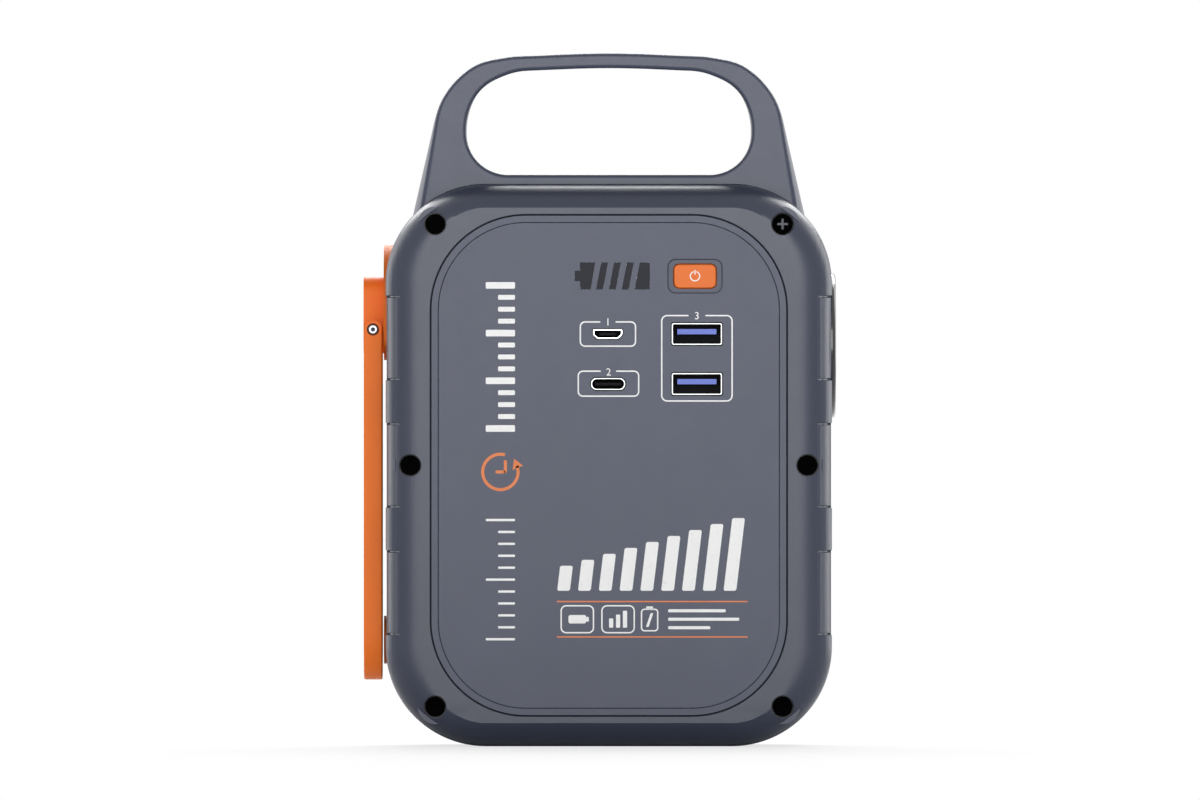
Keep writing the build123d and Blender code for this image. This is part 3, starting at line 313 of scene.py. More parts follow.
# ---------------------------------------------------------------- finishes
@dataclass(frozen=True)
class Finish:
    """What every finish shares: a name and a way to build its material."""

    name: str
    colour: Colour
    roughness: float = 0.5

    def material(self) -> bpy.types.Material:
        """Gives the material, built on the first call.

        Returns:
            The material of this finish.
        """
        found = bpy.data.materials.get("finish_" + self.name)
        if found:
            return found
        made = bpy.data.materials.new("finish_" + self.name)
        made.use_nodes = True
        made.diffuse_color = (*self.colour, 1.0)
        sheet = Sheet(made.node_tree)
        shader = made.node_tree.nodes["Principled BSDF"]
        shader.inputs["Base Color"].default_value = (*self.colour, 1.0)
        shader.inputs["Roughness"].default_value = self.roughness
        self.fill(sheet, shader)
        return made

    def fill(self, sheet: Sheet, shader: bpy.types.Node) -> None:
        """Adds the nodes of this finish.

        Args:
            sheet: The material's tree.
            shader: Its Principled BSDF.
        """
        raise NotImplementedError

    @staticmethod
    def effect(sheet: Sheet, effect: Effect, **values: float) -> bpy.types.Node:
        """Places a shared effect in a material.

        Args:
            sheet: The material's tree.
            effect: The effect to place.
            values: Input values by name, with underscores for spaces.

        Returns:
            The group node.
        """
        made = sheet.node("Group")
        made.node_tree = SHELF.get(effect)
        for name, value in values.items():
            made.inputs[name.replace("_", " ")].default_value = value
        return made

    @staticmethod
    def bump(sheet: Sheet, shader: bpy.types.Node, height: bpy.types.NodeSocket, strength: float,
             distance: float) -> None:
        """Puts a height on the shader's normal.

        Args:
            sheet: The material's tree.
            shader: Its Principled BSDF.
            height: The height's socket.
            strength: Strength of the relief.
            distance: Depth of the relief in metres.
        """
        made = sheet.node("Bump")
        made.inputs["Strength"].default_value = strength
        made.inputs["Distance"].default_value = distance
        sheet.join(height, made.inputs["Height"])
        sheet.join(made.outputs["Normal"], shader.inputs["Normal"])

    @staticmethod
    def shade(colour: Colour, factor: float) -> Colour:
        """Gives a colour made lighter or darker."""
        return tuple(min(1.0, part * factor) for part in colour)


@dataclass(frozen=True)
class Moulded(Finish):
    """Moulded plastic with a spark-eroded texture, rubbed edges and a little dust."""

    grain_scale: float = 3200.0
    grain_depth: float = 0.00002
    grain_strength: float = 0.5
    wear_width: float = 0.0004
    wear_light: float = 1.35
    dust: float = 0.12
    coat: float = 0.0
    shine: float = 0.5

    def fill(self, sheet: Sheet, shader: bpy.types.Node) -> None:
        """Adds grain, mottle, rubbed edges and dust.

        Args:
            sheet: The material's tree.
            shader: Its Principled BSDF.
        """
        grain = self.effect(sheet, Effect.GRAIN, Scale=self.grain_scale)
        wear = self.effect(sheet, Effect.WEAR, Width=self.wear_width)
        dust = self.effect(sheet, Effect.DUST, Amount=self.dust)
        mottled = sheet.blend(grain.outputs["Mottle"], self.shade(self.colour, 0.95),
                              self.shade(self.colour, 1.05))
        rubbed = sheet.blend(wear.outputs["Mask"], mottled, self.shade(self.colour, self.wear_light))
        dusty = sheet.blend(dust.outputs["Mask"], rubbed, (0.42, 0.41, 0.39))
        sheet.join(dusty, shader.inputs["Base Color"])
        gloss = sheet.span(grain.outputs["Gloss"], self.roughness - 0.015, self.roughness + 0.02, 0.3, 0.7)
        rubbed = sheet.math("MULTIPLY", wear.outputs["Mask"], 0.1)
        polished = sheet.math("SUBTRACT", gloss, rubbed, clamp=True)
        sheet.join(polished, shader.inputs["Roughness"])
        shader.inputs["Specular IOR Level"].default_value = self.shine
        if self.coat:
            shader.inputs["Coat Weight"].default_value = self.coat
            shader.inputs["Coat Roughness"].default_value = 0.12
        self.bump(sheet, shader, grain.outputs["Height"], self.grain_strength, self.grain_depth)


@dataclass(frozen=True)
class Metal(Finish):
    """Bare or plated metal with drawn lines and worn edges."""

    line_scale: float = 900.0
    line_depth: float = 0.000004
    wear_light: float = 1.3

    def fill(self, sheet: Sheet, shader: bpy.types.Node) -> None:
        """Adds drawn lines, blotches and bright edges.

        Args:
            sheet: The material's tree.
            shader: Its Principled BSDF.
        """
        shader.inputs["Metallic"].default_value = 1.0
        lines = self.effect(sheet, Effect.BRUSH, Scale=self.line_scale)
        wear = self.effect(sheet, Effect.WEAR, Width=0.0002)
        tone = sheet.blend(lines.outputs["Height"], self.shade(self.colour, 0.88),
                           self.shade(self.colour, 1.08))
        sheet.join(sheet.blend(wear.outputs["Mask"], tone, self.shade(self.colour, self.wear_light)),
                   shader.inputs["Base Color"])
        sheet.join(sheet.span(lines.outputs["Gloss"], self.roughness - 0.06, self.roughness + 0.1, 0.3, 0.7),
                   shader.inputs["Roughness"])
        self.bump(sheet, shader, lines.outputs["Height"], 0.4, self.line_depth)


@dataclass(frozen=True)
class Gloss(Finish):
    """Polished plastic with faint ripples, smears and hairline scratches."""

    smear: float = 0.12
    shine: float = 0.5

    def fill(self, sheet: Sheet, shader: bpy.types.Node) -> None:
        """Adds smears to the gloss and hairlines to the normal.

        Args:
            sheet: The material's tree.
            shader: Its Principled BSDF.
        """
        shader.inputs["Specular IOR Level"].default_value = self.shine
        grain = self.effect(sheet, Effect.GRAIN, Scale=500.0, Mottle_Scale=140.0)
        wear = self.effect(sheet, Effect.WEAR, Width=0.0003)
        tone = sheet.blend(grain.outputs["Mottle"], self.shade(self.colour, 0.9),
                           self.shade(self.colour, 1.1))
        sheet.join(sheet.blend(wear.outputs["Mask"], tone, self.shade(self.colour, 1.8)),
                   shader.inputs["Base Color"])
        smeared = self.roughness + self.smear
        sheet.join(sheet.span(grain.outputs["Gloss"], self.roughness, smeared, 0.45, 0.75),
                   shader.inputs["Roughness"])
        shader.inputs["Coat Weight"].default_value = 0.4
        shader.inputs["Coat Roughness"].default_value = 0.06
        self.bump(sheet, shader, grain.outputs["Mottle"], 0.25, 0.00002)


@dataclass(frozen=True)
class Clear(Finish):
    """Clear moulding or glass with fine prism rings about the lamp's middle."""

    ring_scale: float = 0.0
    ring_middle: Colour = (0.0, 0.0, 0.0)

    def fill(self, sheet: Sheet, shader: bpy.types.Node) -> None:
        """Adds transmission, smears and rings.

        Args:
            sheet: The material's tree.
            shader: Its Principled BSDF.
        """
        shader.inputs["Transmission Weight"].default_value = 1.0
        shader.inputs["IOR"].default_value = 1.49
        grain = self.effect(sheet, Effect.GRAIN, Scale=700.0, Mottle_Scale=200.0)
        sheet.join(sheet.span(grain.outputs["Gloss"], self.roughness, self.roughness + 0.12, 0.5, 0.8),
                   shader.inputs["Roughness"])
        sheet.join(sheet.blend(grain.outputs["Mottle"], self.shade(self.colour, 0.97), self.colour),
                   shader.inputs["Base Color"])
        if not self.ring_scale:
            self.bump(sheet, shader, grain.outputs["Mottle"], 0.2, 0.00002)
            return
        place = sheet.node("TexCoord")
        centre = sheet.node("Mapping")
        centre.inputs["Location"].default_value = tuple(-part for part in self.ring_middle)
        sheet.join(place.outputs["Object"], centre.inputs["Vector"])
        rings = sheet.node("TexWave", wave_type="RINGS", rings_direction="X", wave_profile="SAW")
        rings.inputs["Scale"].default_value = self.ring_scale
        sheet.join(centre.outputs["Vector"], rings.inputs["Vector"])
        self.bump(sheet, shader, rings.outputs["Fac"], 0.6, 0.0003)


@dataclass(frozen=True)
class Board(Finish):
    """Varnished circuit board with copper tracks under the varnish."""

    def fill(self, sheet: Sheet, shader: bpy.types.Node) -> None:
        """Adds a pattern of tracks and a shiny varnish.

        Args:
            sheet: The material's tree.
            shader: Its Principled BSDF.
        """
        place = sheet.node("TexCoord")
        tracks = sheet.node("TexBrick")
        tracks.inputs["Scale"].default_value = 160.0
        tracks.inputs["Mortar Size"].default_value = 0.035
        tracks.inputs["Color1"].default_value = (1.0, 1.0, 1.0, 1.0)
        tracks.inputs["Color2"].default_value = (0.7, 0.7, 0.7, 1.0)
        tracks.inputs["Mortar"].default_value = (0.0, 0.0, 0.0, 1.0)
        turn = sheet.node("Mapping")
        turn.inputs["Rotation"].default_value = (math.radians(90), 0.0, 0.0)
        sheet.join(place.outputs["Object"], turn.inputs["Vector"])
        sheet.join(turn.outputs["Vector"], tracks.inputs["Vector"])
        sheet.join(sheet.blend(tracks.outputs["Color"], self.shade(self.colour, 1.9), self.colour),
                   shader.inputs["Base Color"])
        grain = self.effect(sheet, Effect.GRAIN, Scale=1800.0)
        sheet.join(sheet.span(grain.outputs["Gloss"], self.roughness, self.roughness + 0.15, 0.3, 0.7),
                   shader.inputs["Roughness"])
        self.bump(sheet, shader, tracks.outputs["Fac"], 0.4, 0.00003)


@dataclass(frozen=True)
class Wound(Finish):
    """Enamelled wire laid turn by turn."""

    def fill(self, sheet: Sheet, shader: bpy.types.Node) -> None:
        """Adds the rounded turns of the wire.

        Args:
            sheet: The material's tree.
            shader: Its Principled BSDF.
        """
        shader.inputs["Metallic"].default_value = 1.0
        place = sheet.node("TexCoord")
        turns = sheet.node("TexWave", bands_direction="DIAGONAL")
        turns.inputs["Scale"].default_value = 700.0
        turns.inputs["Distortion"].default_value = 0.6
        sheet.join(place.outputs["Object"], turns.inputs["Vector"])
        # Darker between the turns: painted shade in the grooves where the turns meet.
        sheet.join(sheet.blend(turns.outputs["Fac"], self.shade(self.colour, 0.5), self.colour),
                   shader.inputs["Base Color"])
        sheet.join(sheet.span(turns.outputs["Fac"], self.roughness + 0.15, self.roughness),
                   shader.inputs["Roughness"])
        self.bump(sheet, shader, turns.outputs["Fac"], 0.7, 0.0001)


@dataclass(frozen=True)
class Ink(Finish):
    """Screen-printed ink, slightly uneven, with pinholes at its edges."""

    def fill(self, sheet: Sheet, shader: bpy.types.Node) -> None:
        """Adds the uneven cover and fine relief of the ink.

        Args:
            sheet: The material's tree.
            shader: Its Principled BSDF.
        """
        grain = self.effect(sheet, Effect.GRAIN, Scale=4200.0, Mottle_Scale=900.0)
        worn = sheet.span(grain.outputs["Mottle"], 0.0, 1.0, 0.62, 0.8)
        sheet.join(sheet.blend(worn, self.colour, self.shade(self.colour, 0.86)), shader.inputs["Base Color"])
        sheet.join(sheet.span(grain.outputs["Gloss"], self.roughness, self.roughness + 0.15, 0.3, 0.7),
                   shader.inputs["Roughness"])
        self.bump(sheet, shader, grain.outputs["Height"], 0.35, 0.00001)


CASE_GREY = Moulded("case_grey", (0.035, 0.042, 0.07), 0.34, dust=0.05, shine=0.45)
PANEL_GREY = Moulded("panel_grey", (0.041, 0.05, 0.085), 0.37, grain_scale=2800.0, grain_strength=0.4,
                     dust=0.05,
                     shine=0.42)
HANDLE_GREY = Moulded("handle_grey", (0.044, 0.052, 0.086), 0.35, dust=0.05, shine=0.42)
CRANK_ORANGE = Moulded("crank_orange", (0.84, 0.18, 0.024), 0.46, grain_depth=0.000012, wear_light=1.15,
                       shine=0.15)
BUTTON_ORANGE = Moulded("button_orange", (0.78, 0.165, 0.02), 0.4, grain_depth=0.00001, wear_light=1.15,
                        shine=0.25)
PORT_STEEL = Metal("port_steel", (0.86, 0.86, 0.88), 0.24)

FINISHES: dict[str, Finish] = {
    "case_grey": CASE_GREY,
    "panel_grey": PANEL_GREY,
    "handle_grey": HANDLE_GREY,
    "crank_orange": CRANK_ORANGE,
    "button_orange": BUTTON_ORANGE,
    "steel": Metal("steel", (0.62, 0.63, 0.65), 0.28),
    "screw_black": Moulded("screw_black", (0.002, 0.002, 0.002), 0.7, dust=0.0, shine=0.0),
    "seal_black": Moulded("seal_black", (0.02, 0.02, 0.02), 0.75, grain_scale=1500.0),
    "port_steel": PORT_STEEL,
    "pin_steel": Metal("pin_steel", (0.34, 0.345, 0.36), 0.36),
    # socket_blue is painted shade: the dark blue of the inside of the pin's sockets.
    "socket_blue": Moulded("socket_blue", (0.03, 0.055, 0.1), 0.55, dust=0.02, shine=0.2),
    # rim_brown is painted shade: the orange arm's colour in shadow, used for the rings round the pin's ends.
    "rim_brown": Moulded("rim_brown", (0.1, 0.03, 0.014), 0.6, dust=0.02, shine=0.1),
    # line_dark and line_grey are painted shade, used for the gap round the panel, the fine lines and the
    # dish's edge.
    "line_dark": Moulded("line_dark", (0.006, 0.007, 0.012), 0.6, dust=0.02, shine=0.1),
    "line_grey": Moulded("line_grey", (0.028, 0.032, 0.046), 0.6, dust=0.02, shine=0.1),
    "port_black": Moulded("port_black", (0.004, 0.004, 0.005), 0.5, dust=0.02, shine=0.08),
    "port_blue": Moulded("port_blue", (0.16, 0.21, 0.62), 0.4, dust=0.02, shine=0.2),
    "gauge_smoke": Moulded("gauge_smoke", (0.026, 0.027, 0.034), 0.45, dust=0.02, shine=0.1),
    "guide_clear": Clear("guide_clear", (0.85, 0.88, 0.9), 0.08),
    "light_white": Gloss("light_white", (0.85, 0.82, 0.55), 0.3),
    "board_green": Board("board_green", (0.02, 0.13, 0.045), 0.28),
    "chip_black": Moulded("chip_black", (0.018, 0.018, 0.02), 0.55, grain_scale=5200.0),
    "cell_wrap": Gloss("cell_wrap", (0.03, 0.26, 0.22), 0.25),
    "holder_black": Moulded("holder_black", (0.025, 0.025, 0.027), 0.6),
    "nickel": Metal("nickel", (0.6, 0.57, 0.5), 0.3),
    "bronze": Metal("bronze", (0.52, 0.33, 0.13), 0.42, line_scale=300.0),
    "copper": Wound("copper", (0.66, 0.26, 0.12), 0.3),
    "gear_nylon": Moulded("gear_nylon", (0.74, 0.71, 0.62), 0.42, grain_scale=2000.0),
    "magnet_dark": Metal("magnet_dark", (0.16, 0.16, 0.17), 0.42),
    "lamp_black": Gloss("lamp_black", (0.012, 0.013, 0.018), 0.16),
    "lamp_lens": Clear("lamp_lens", (0.93, 0.95, 0.97), 0.03, ring_scale=190.0,
                       ring_middle=(0.057, 0.0, 0.1044)),
    "lamp_mirror": Metal("lamp_mirror", (0.9, 0.9, 0.92), 0.08, line_depth=0.000001),
}
PRINT_WHITE = Ink("print_white", (0.87, 0.87, 0.87), 0.5)
PRINT_ORANGE = Ink("print_orange", (0.72, 0.2, 0.06), 0.5)


# ---------------------------------------------------------------- making pieces
def publish(bm: bmesh.types.BMesh, name: str, finish: Finish, body: str,
            replaces: Sequence[str] = (), sharp: float = 30.0) -> bpy.types.Object:
    """Turns a millimetre bmesh into a finished piece that rides on its body.

    Args:
        bm: The mesh in millimetres, freed afterwards.
        name: The piece's name.
        finish: Its finish.
        body: The body that it rides on.
        replaces: The CAD nodes that it stands for.
        sharp: Angle in degrees from which an edge stays sharp.

    Returns:
        The new object.
    """
    bmesh.ops.scale(bm, vec=(MM, MM, MM), verts=bm.verts)
    mesh = bpy.data.meshes.new(name)
    bm.to_mesh(mesh)
    bm.free()
    piece = bpy.data.objects.new(name, mesh)
    bpy.context.scene.collection.objects.link(piece)
    return settle(piece, finish, body, replaces, sharp)


def settle(piece: bpy.types.Object, finish: Finish, body: str, replaces: Sequence[str] = (),
           sharp: float = 30.0) -> bpy.types.Object:
    """Smooths, dresses and seats a piece.

    Args:
        piece: The object, its mesh in place and in metres.
        finish: Its finish.
        body: The body that it rides on.
        replaces: The CAD nodes that it stands for.
        sharp: Angle in degrees from which an edge stays sharp.

    Returns:
        The same object.
    """
    piece.data.shade_smooth()
    piece.data.set_sharp_from_angle(angle=math.radians(sharp))
    even = piece.modifiers.new("even", "WEIGHTED_NORMAL")
    even.keep_sharp = True
    piece.data.materials.clear()
    piece.data.materials.append(finish.material())
    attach(piece, body)
    if replaces:
        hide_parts(*replaces)
    log.info("%s on %s", piece.name, body)
    return piece


def blank() -> bmesh.types.BMesh:
    """Gives an empty bmesh."""
    return bmesh.new()


def shift(bm: bmesh.types.BMesh, geometry: Sequence[object], move: tuple[float, float, float]) -> None:
    """Moves the vertices among some geometry.

    Args:
        bm: The mesh.
        geometry: Vertices, edges and faces, as an extrusion gives them.
        move: How far to move them.
    """
    verts = [part for part in geometry if isinstance(part, bmesh.types.BMVert)]
    bmesh.ops.translate(bm, vec=move, verts=verts)


def cutter(bm: bmesh.types.BMesh, name: str) -> bpy.types.Object:
    """Makes a tool solid for carve, in metres.

    Args:
        bm: The solid in millimetres, freed afterwards.
        name: The tool's name.

    Returns:
        The tool object.
    """
    bmesh.ops.recalc_face_normals(bm, faces=bm.faces)
    bmesh.ops.scale(bm, vec=(MM, MM, MM), verts=bm.verts)
    mesh = bpy.data.meshes.new(name)
    bm.to_mesh(mesh)
    bm.free()
    tool = bpy.data.objects.new(name, mesh)
    bpy.context.scene.collection.objects.link(tool)
    return tool


def carve(piece: bpy.types.Object, tools: Sequence[bpy.types.Object], operation: str) -> None:
    """Joins tools to a piece or cuts them from it, and removes the tools.

    Args:
        piece: The object to change.
        tools: The tool solids.
        operation: UNION or DIFFERENCE.
    """
    for tool in tools:
        step = piece.modifiers.new("carve", "BOOLEAN")
        step.operation = operation
        step.solver = "EXACT"
        step.object = tool
    seen = piece.evaluated_get(bpy.context.evaluated_depsgraph_get())
    carved = bpy.data.meshes.new_from_object(seen)
    piece.modifiers.clear()
    old = piece.data
    carved.name = old.name
    piece.data = carved
    bpy.data.meshes.remove(old)
    for tool in tools:
        mesh = tool.data
        bpy.data.objects.remove(tool)
        bpy.data.meshes.remove(mesh)


def round_bar(axis: str, place: tuple[float, float, float], radius: float, length: float,
              sides: int = 96) -> bmesh.types.BMesh:
    """Makes a capped cylinder.

    Args:
        axis: X, Y or Z, the way that it runs.
        place: Its middle.
        radius: Its radius.
        length: Its length.
        sides: Its number of sides.

    Returns:
        The cylinder in millimetres.
    """
    turn = {"X": Matrix.Rotation(math.pi / 2, 4, "Y"), "Y": Matrix.Rotation(math.pi / 2, 4, "X"),
            "Z": Matrix.Identity(4)}[axis]
    bm = blank()
    bmesh.ops.create_cone(bm, cap_ends=True, segments=sides, radius1=radius, radius2=radius, depth=length,
                          matrix=Matrix.Translation(place) @ turn)
    return bm


@dataclass(frozen=True)
class Outline:
    """Rectangle with round corners, seen from the front."""

    width: float
    height: float
    radius: float
    middle_x: float = 0.0
    middle_z: float = 73.2

    def inset(self, distance: float) -> "Outline":
        """Gives the outline drawn in by a distance."""
        return Outline(self.width - 2 * distance, self.height - 2 * distance, self.radius - distance,
                       self.middle_x, self.middle_z)

    def corner(self, side: float, level: float) -> Vector:
        """Gives the centre of one corner's arc."""
        return Vector((self.middle_x + side * (self.width / 2 - self.radius), 0.0,
                       self.middle_z + level * (self.height / 2 - self.radius)))

    def face(self, bm: bmesh.types.BMesh, y: float, segments: int) -> bmesh.types.BMFace:
        """Makes the outline as one face that looks to the front.

        Args:
            bm: The mesh to add it to.
            y: Its depth.
            segments: Segments in each corner.

        Returns:
            The face.
        """
        place = Matrix.Translation((self.middle_x, y, self.middle_z)) @ Matrix.Rotation(math.pi / 2, 4, "X")
        grid = bmesh.ops.create_grid(bm, x_segments=1, y_segments=1, size=0.5,
                                     matrix=place @ Matrix.Diagonal((self.width, self.height, 1.0, 1.0)))
        shaped = bmesh.ops.bevel(bm, geom=grid["verts"], offset=self.radius, offset_type="OFFSET",
                                 segments=segments, profile=0.5, affect="VERTICES", material=-1)
        near = shaped["verts"][0] if shaped["verts"] else grid["verts"][0]
        return near.link_faces[0]


class RingSkin:
    """A skin that runs round rounded outlines, one ring after another."""

    def __init__(self, outline: Outline, y: float, segments: int, keep_cap: bool = False) -> None:
        """Starts with the first ring.

        Args:
            outline: The first ring's outline.
            y: Its depth.
            segments: Segments in each corner.
            keep_cap: Whether the face across the first ring stays.
        """
        self.bm = blank()
        self.shown = self.bm.verts.layers.float.new("shown")
        self.side = self.bm.verts.layers.float.new("side")
        self.level = self.bm.verts.layers.float.new("level")
        self.out_x = self.bm.verts.layers.float.new("out_x")
        self.out_z = self.bm.verts.layers.float.new("out_z")
        face = outline.face(self.bm, y, segments)
        for vert in face.verts:
            side = 1.0 if vert.co.x > outline.middle_x else -1.0
            level = 1.0 if vert.co.z > outline.middle_z else -1.0
            away = (vert.co - outline.corner(side, level)) * Vector((1.0, 0.0, 1.0))
            away.normalize()
            vert[self.side], vert[self.level] = side, level
            vert[self.out_x], vert[self.out_z] = away.x, away.z
        self.edges = list(face.edges)
        self.first = list(face.edges)
        if not keep_cap:
            bmesh.ops.delete(self.bm, geom=[face], context="FACES_ONLY")

    def _next(self, place: Callable[[bmesh.types.BMVert, Vector], Vector], shown: bool) -> None:
        """Adds a ring whose vertices go where place says.

        Args:
            place: Gives a vertex's new position from the vertex and its outward direction.
            shown: Whether the ring belongs to the outer skin.
        """
        made = bmesh.ops.extrude_edge_only(self.bm, edges=self.edges)["geom"]
        self.edges = [part for part in made if isinstance(part, bmesh.types.BMEdge)
                      and all(vert in made for vert in part.verts)]
        for vert in (part for part in made if isinstance(part, bmesh.types.BMVert)):
            vert.co = place(vert, Vector((vert[self.out_x], 0.0, vert[self.out_z])))
            vert[self.shown] = 1.0 if shown else 0.0

    def ring(self, outline: Outline, y: float, shown: bool = False) -> None:
        """Adds a ring on an outline.

        Args:
            outline: The ring's outline.
            y: Its depth.
            shown: Whether it belongs to the outer skin.
        """

        def place(vert: bmesh.types.BMVert, away: Vector) -> Vector:
            """Puts a vertex on the outline."""
            spot = outline.corner(vert[self.side], vert[self.level]) + away * outline.radius
            return Vector((spot.x, y, spot.z))

        self._next(place, shown)

    def follow(self, place: Callable[[Vector], tuple[float, float]], outline: Outline,
               shown: bool = True) -> None:
        """Adds a ring that is drawn in by its own distance at every vertex.

        Args:
            place: Gives the distance and the depth from a vertex's outward direction.
            outline: The outline that it is drawn in from.
            shown: Whether the ring belongs to the outer skin.
        """

        def spot(vert: bmesh.types.BMVert, away: Vector) -> Vector:
            """Puts a vertex on the ring.

            Args:
                vert: The vertex.
                away: Its outward direction.

            Returns:
                Its place.
            """
            inset, y = place(away)
            found = outline.corner(vert[self.side], vert[self.level]) + away * (outline.radius - inset)
            return Vector((found.x, y, found.z))

        self._next(spot, shown)

    def cap(self) -> None:
        """Closes the last ring with one face."""
        bmesh.ops.contextual_create(self.bm, geom=self.edges)

    def weld(self) -> None:
        """Joins the last ring to the first where they meet, and points every face outwards."""
        bmesh.ops.remove_doubles(self.bm, verts=self.bm.verts, dist=0.001)
        bmesh.ops.recalc_face_normals(self.bm, faces=self.bm.faces)


# ---------------------------------------------------------------- case
@dataclass(frozen=True)
class Rounding:
    """Edge rounding whose reach, depth and sharpness at the flat face change round the case."""

    face_y: float
    inward: float
    side_reach: float
    end_reach: float
    side_depth: float
    end_depth: float
    crease: float

    def _shape(self, away: Vector) -> tuple[float, float, float]:
        """Gives reach, depth and last angle for a direction round the case.

        Args:
            away: The outward direction.

        Returns:
            The three values.
        """
        upright = away.z ** 2
        reach = self.side_reach + (self.end_reach - self.side_reach) * upright
        depth = self.side_depth + (self.end_depth - self.side_depth) * upright
        return reach, depth, math.radians(90.0 - self.crease * upright ** 3)

    def _turn(self, away: Vector, y: float) -> float:
        """Gives the angle that the rounding has reached at a depth.

        Args:
            away: The outward direction.
            y: The depth.

        Returns:
            The angle in radians.
        """
        _, depth, last = self._shape(away)
        gone = 1.0 - abs(y - self.face_y) / depth
        return math.asin(min(1.0, max(0.0, gone)) * math.sin(last))

    def _inset(self, away: Vector, turn: float) -> float:
        """Gives how far the skin is drawn in at an angle.

        Args:
            away: The outward direction.
            turn: The angle in radians.

        Returns:
            The distance in millimetres.
        """
        reach, _, last = self._shape(away)
        return reach * (1.0 - math.cos(turn)) / (1.0 - math.cos(last))

    def at_depth(self, y: float, extra: float = 0.0) -> Callable[[Vector], tuple[float, float]]:
        """Gives the rule of a ring at one depth.

        Args:
            y: The depth.
            extra: Further distance to draw it in.

        Returns:
            The rule.
        """
        return lambda away: (self._inset(away, self._turn(away, y)) + extra, y)

    def at_share(self, start_y: float, share: float) -> Callable[[Vector], tuple[float, float]]:
        """Gives the rule of a ring part of the way from a depth to the flat face.

        Args:
            start_y: The depth where the share is zero.
            share: The share of the way.

        Returns:
            The rule.
        """

        def rule(away: Vector) -> tuple[float, float]:
            """Gives the inset and depth of the ring.

            Args:
                away: The outward direction.

            Returns:
                The inset and the depth.
            """
            _, depth, last = self._shape(away)
            first = self._turn(away, start_y)
            turn = first + (last - first) * share
            left = 1.0 - math.sin(turn) / math.sin(last)
            return self._inset(away, turn), self.face_y + self.inward * depth * left

        return rule


@dataclass
class SideRecesses:
    """Shallow recesses in both sides, between the raised bands."""

    depth: float = 0.55
    inner_x: float = 54.0
    fade: float = 2.4
    slope: float = 0.16
    groove_width: float = 0.34
    groove_depth: float = 0.5
    front_share: float = 0.5
    height: float = 22.2
    pitch: float = 33.15
    middle_z: float = 73.2

    def levels(self) -> list[tuple[float, float]]:
        """Gives the lower and upper edge of each recess."""
        middles = [self.middle_z + row * self.pitch for row in (-1, 0, 1)]
        return [(middle - self.height / 2, middle + self.height / 2) for middle in middles]

    def press(self, skin: RingSkin) -> None:
        """Sinks the recesses into a finished skin.

        Args:
            skin: The skin to change.
        """
        bm = skin.bm
        cuts = [((side * x, 0.0, 0.0), (1.0, 0.0, 0.0)) for side in (-1, 1)
                for x in (self.inner_x, self.inner_x + self.fade / 2, self.inner_x + self.fade)]
        across = (0.0, self.slope, self.slope + self.groove_width, 2 * self.slope + self.groove_width)
        for low, high in self.levels():
            cuts += [((0.0, 0.0, z), (0.0, 0.0, 1.0)) for step in across for z in (low + step, high - step)]
        for place, way in cuts:
            bmesh.ops.bisect_plane(bm, geom=bm.verts[:] + bm.edges[:] + bm.faces[:], dist=0.00001,
                                   plane_co=place, plane_no=way)
        bm.normal_update()
        tiny = 0.001
        moves = []
        for vert in bm.verts:
            share = min(1.0, max(0.0, (abs(vert.co.x) - self.inner_x) / self.fade))
            if vert[skin.shown] < 0.99 or share < tiny:
                continue
            for low, high in self.levels():
                within = min(vert.co.z - low, high - vert.co.z)
                if within >= self.slope - tiny:
                    sink = self.depth + (self.groove_depth if within < across[2] + tiny else 0.0)
                    moves.append((vert, vert.normal * -sink * share * share * (3.0 - 2.0 * share)))
        for vert, move in moves:
            vert.co += Vector((move.x, move.y * self.front_share, 0.0))


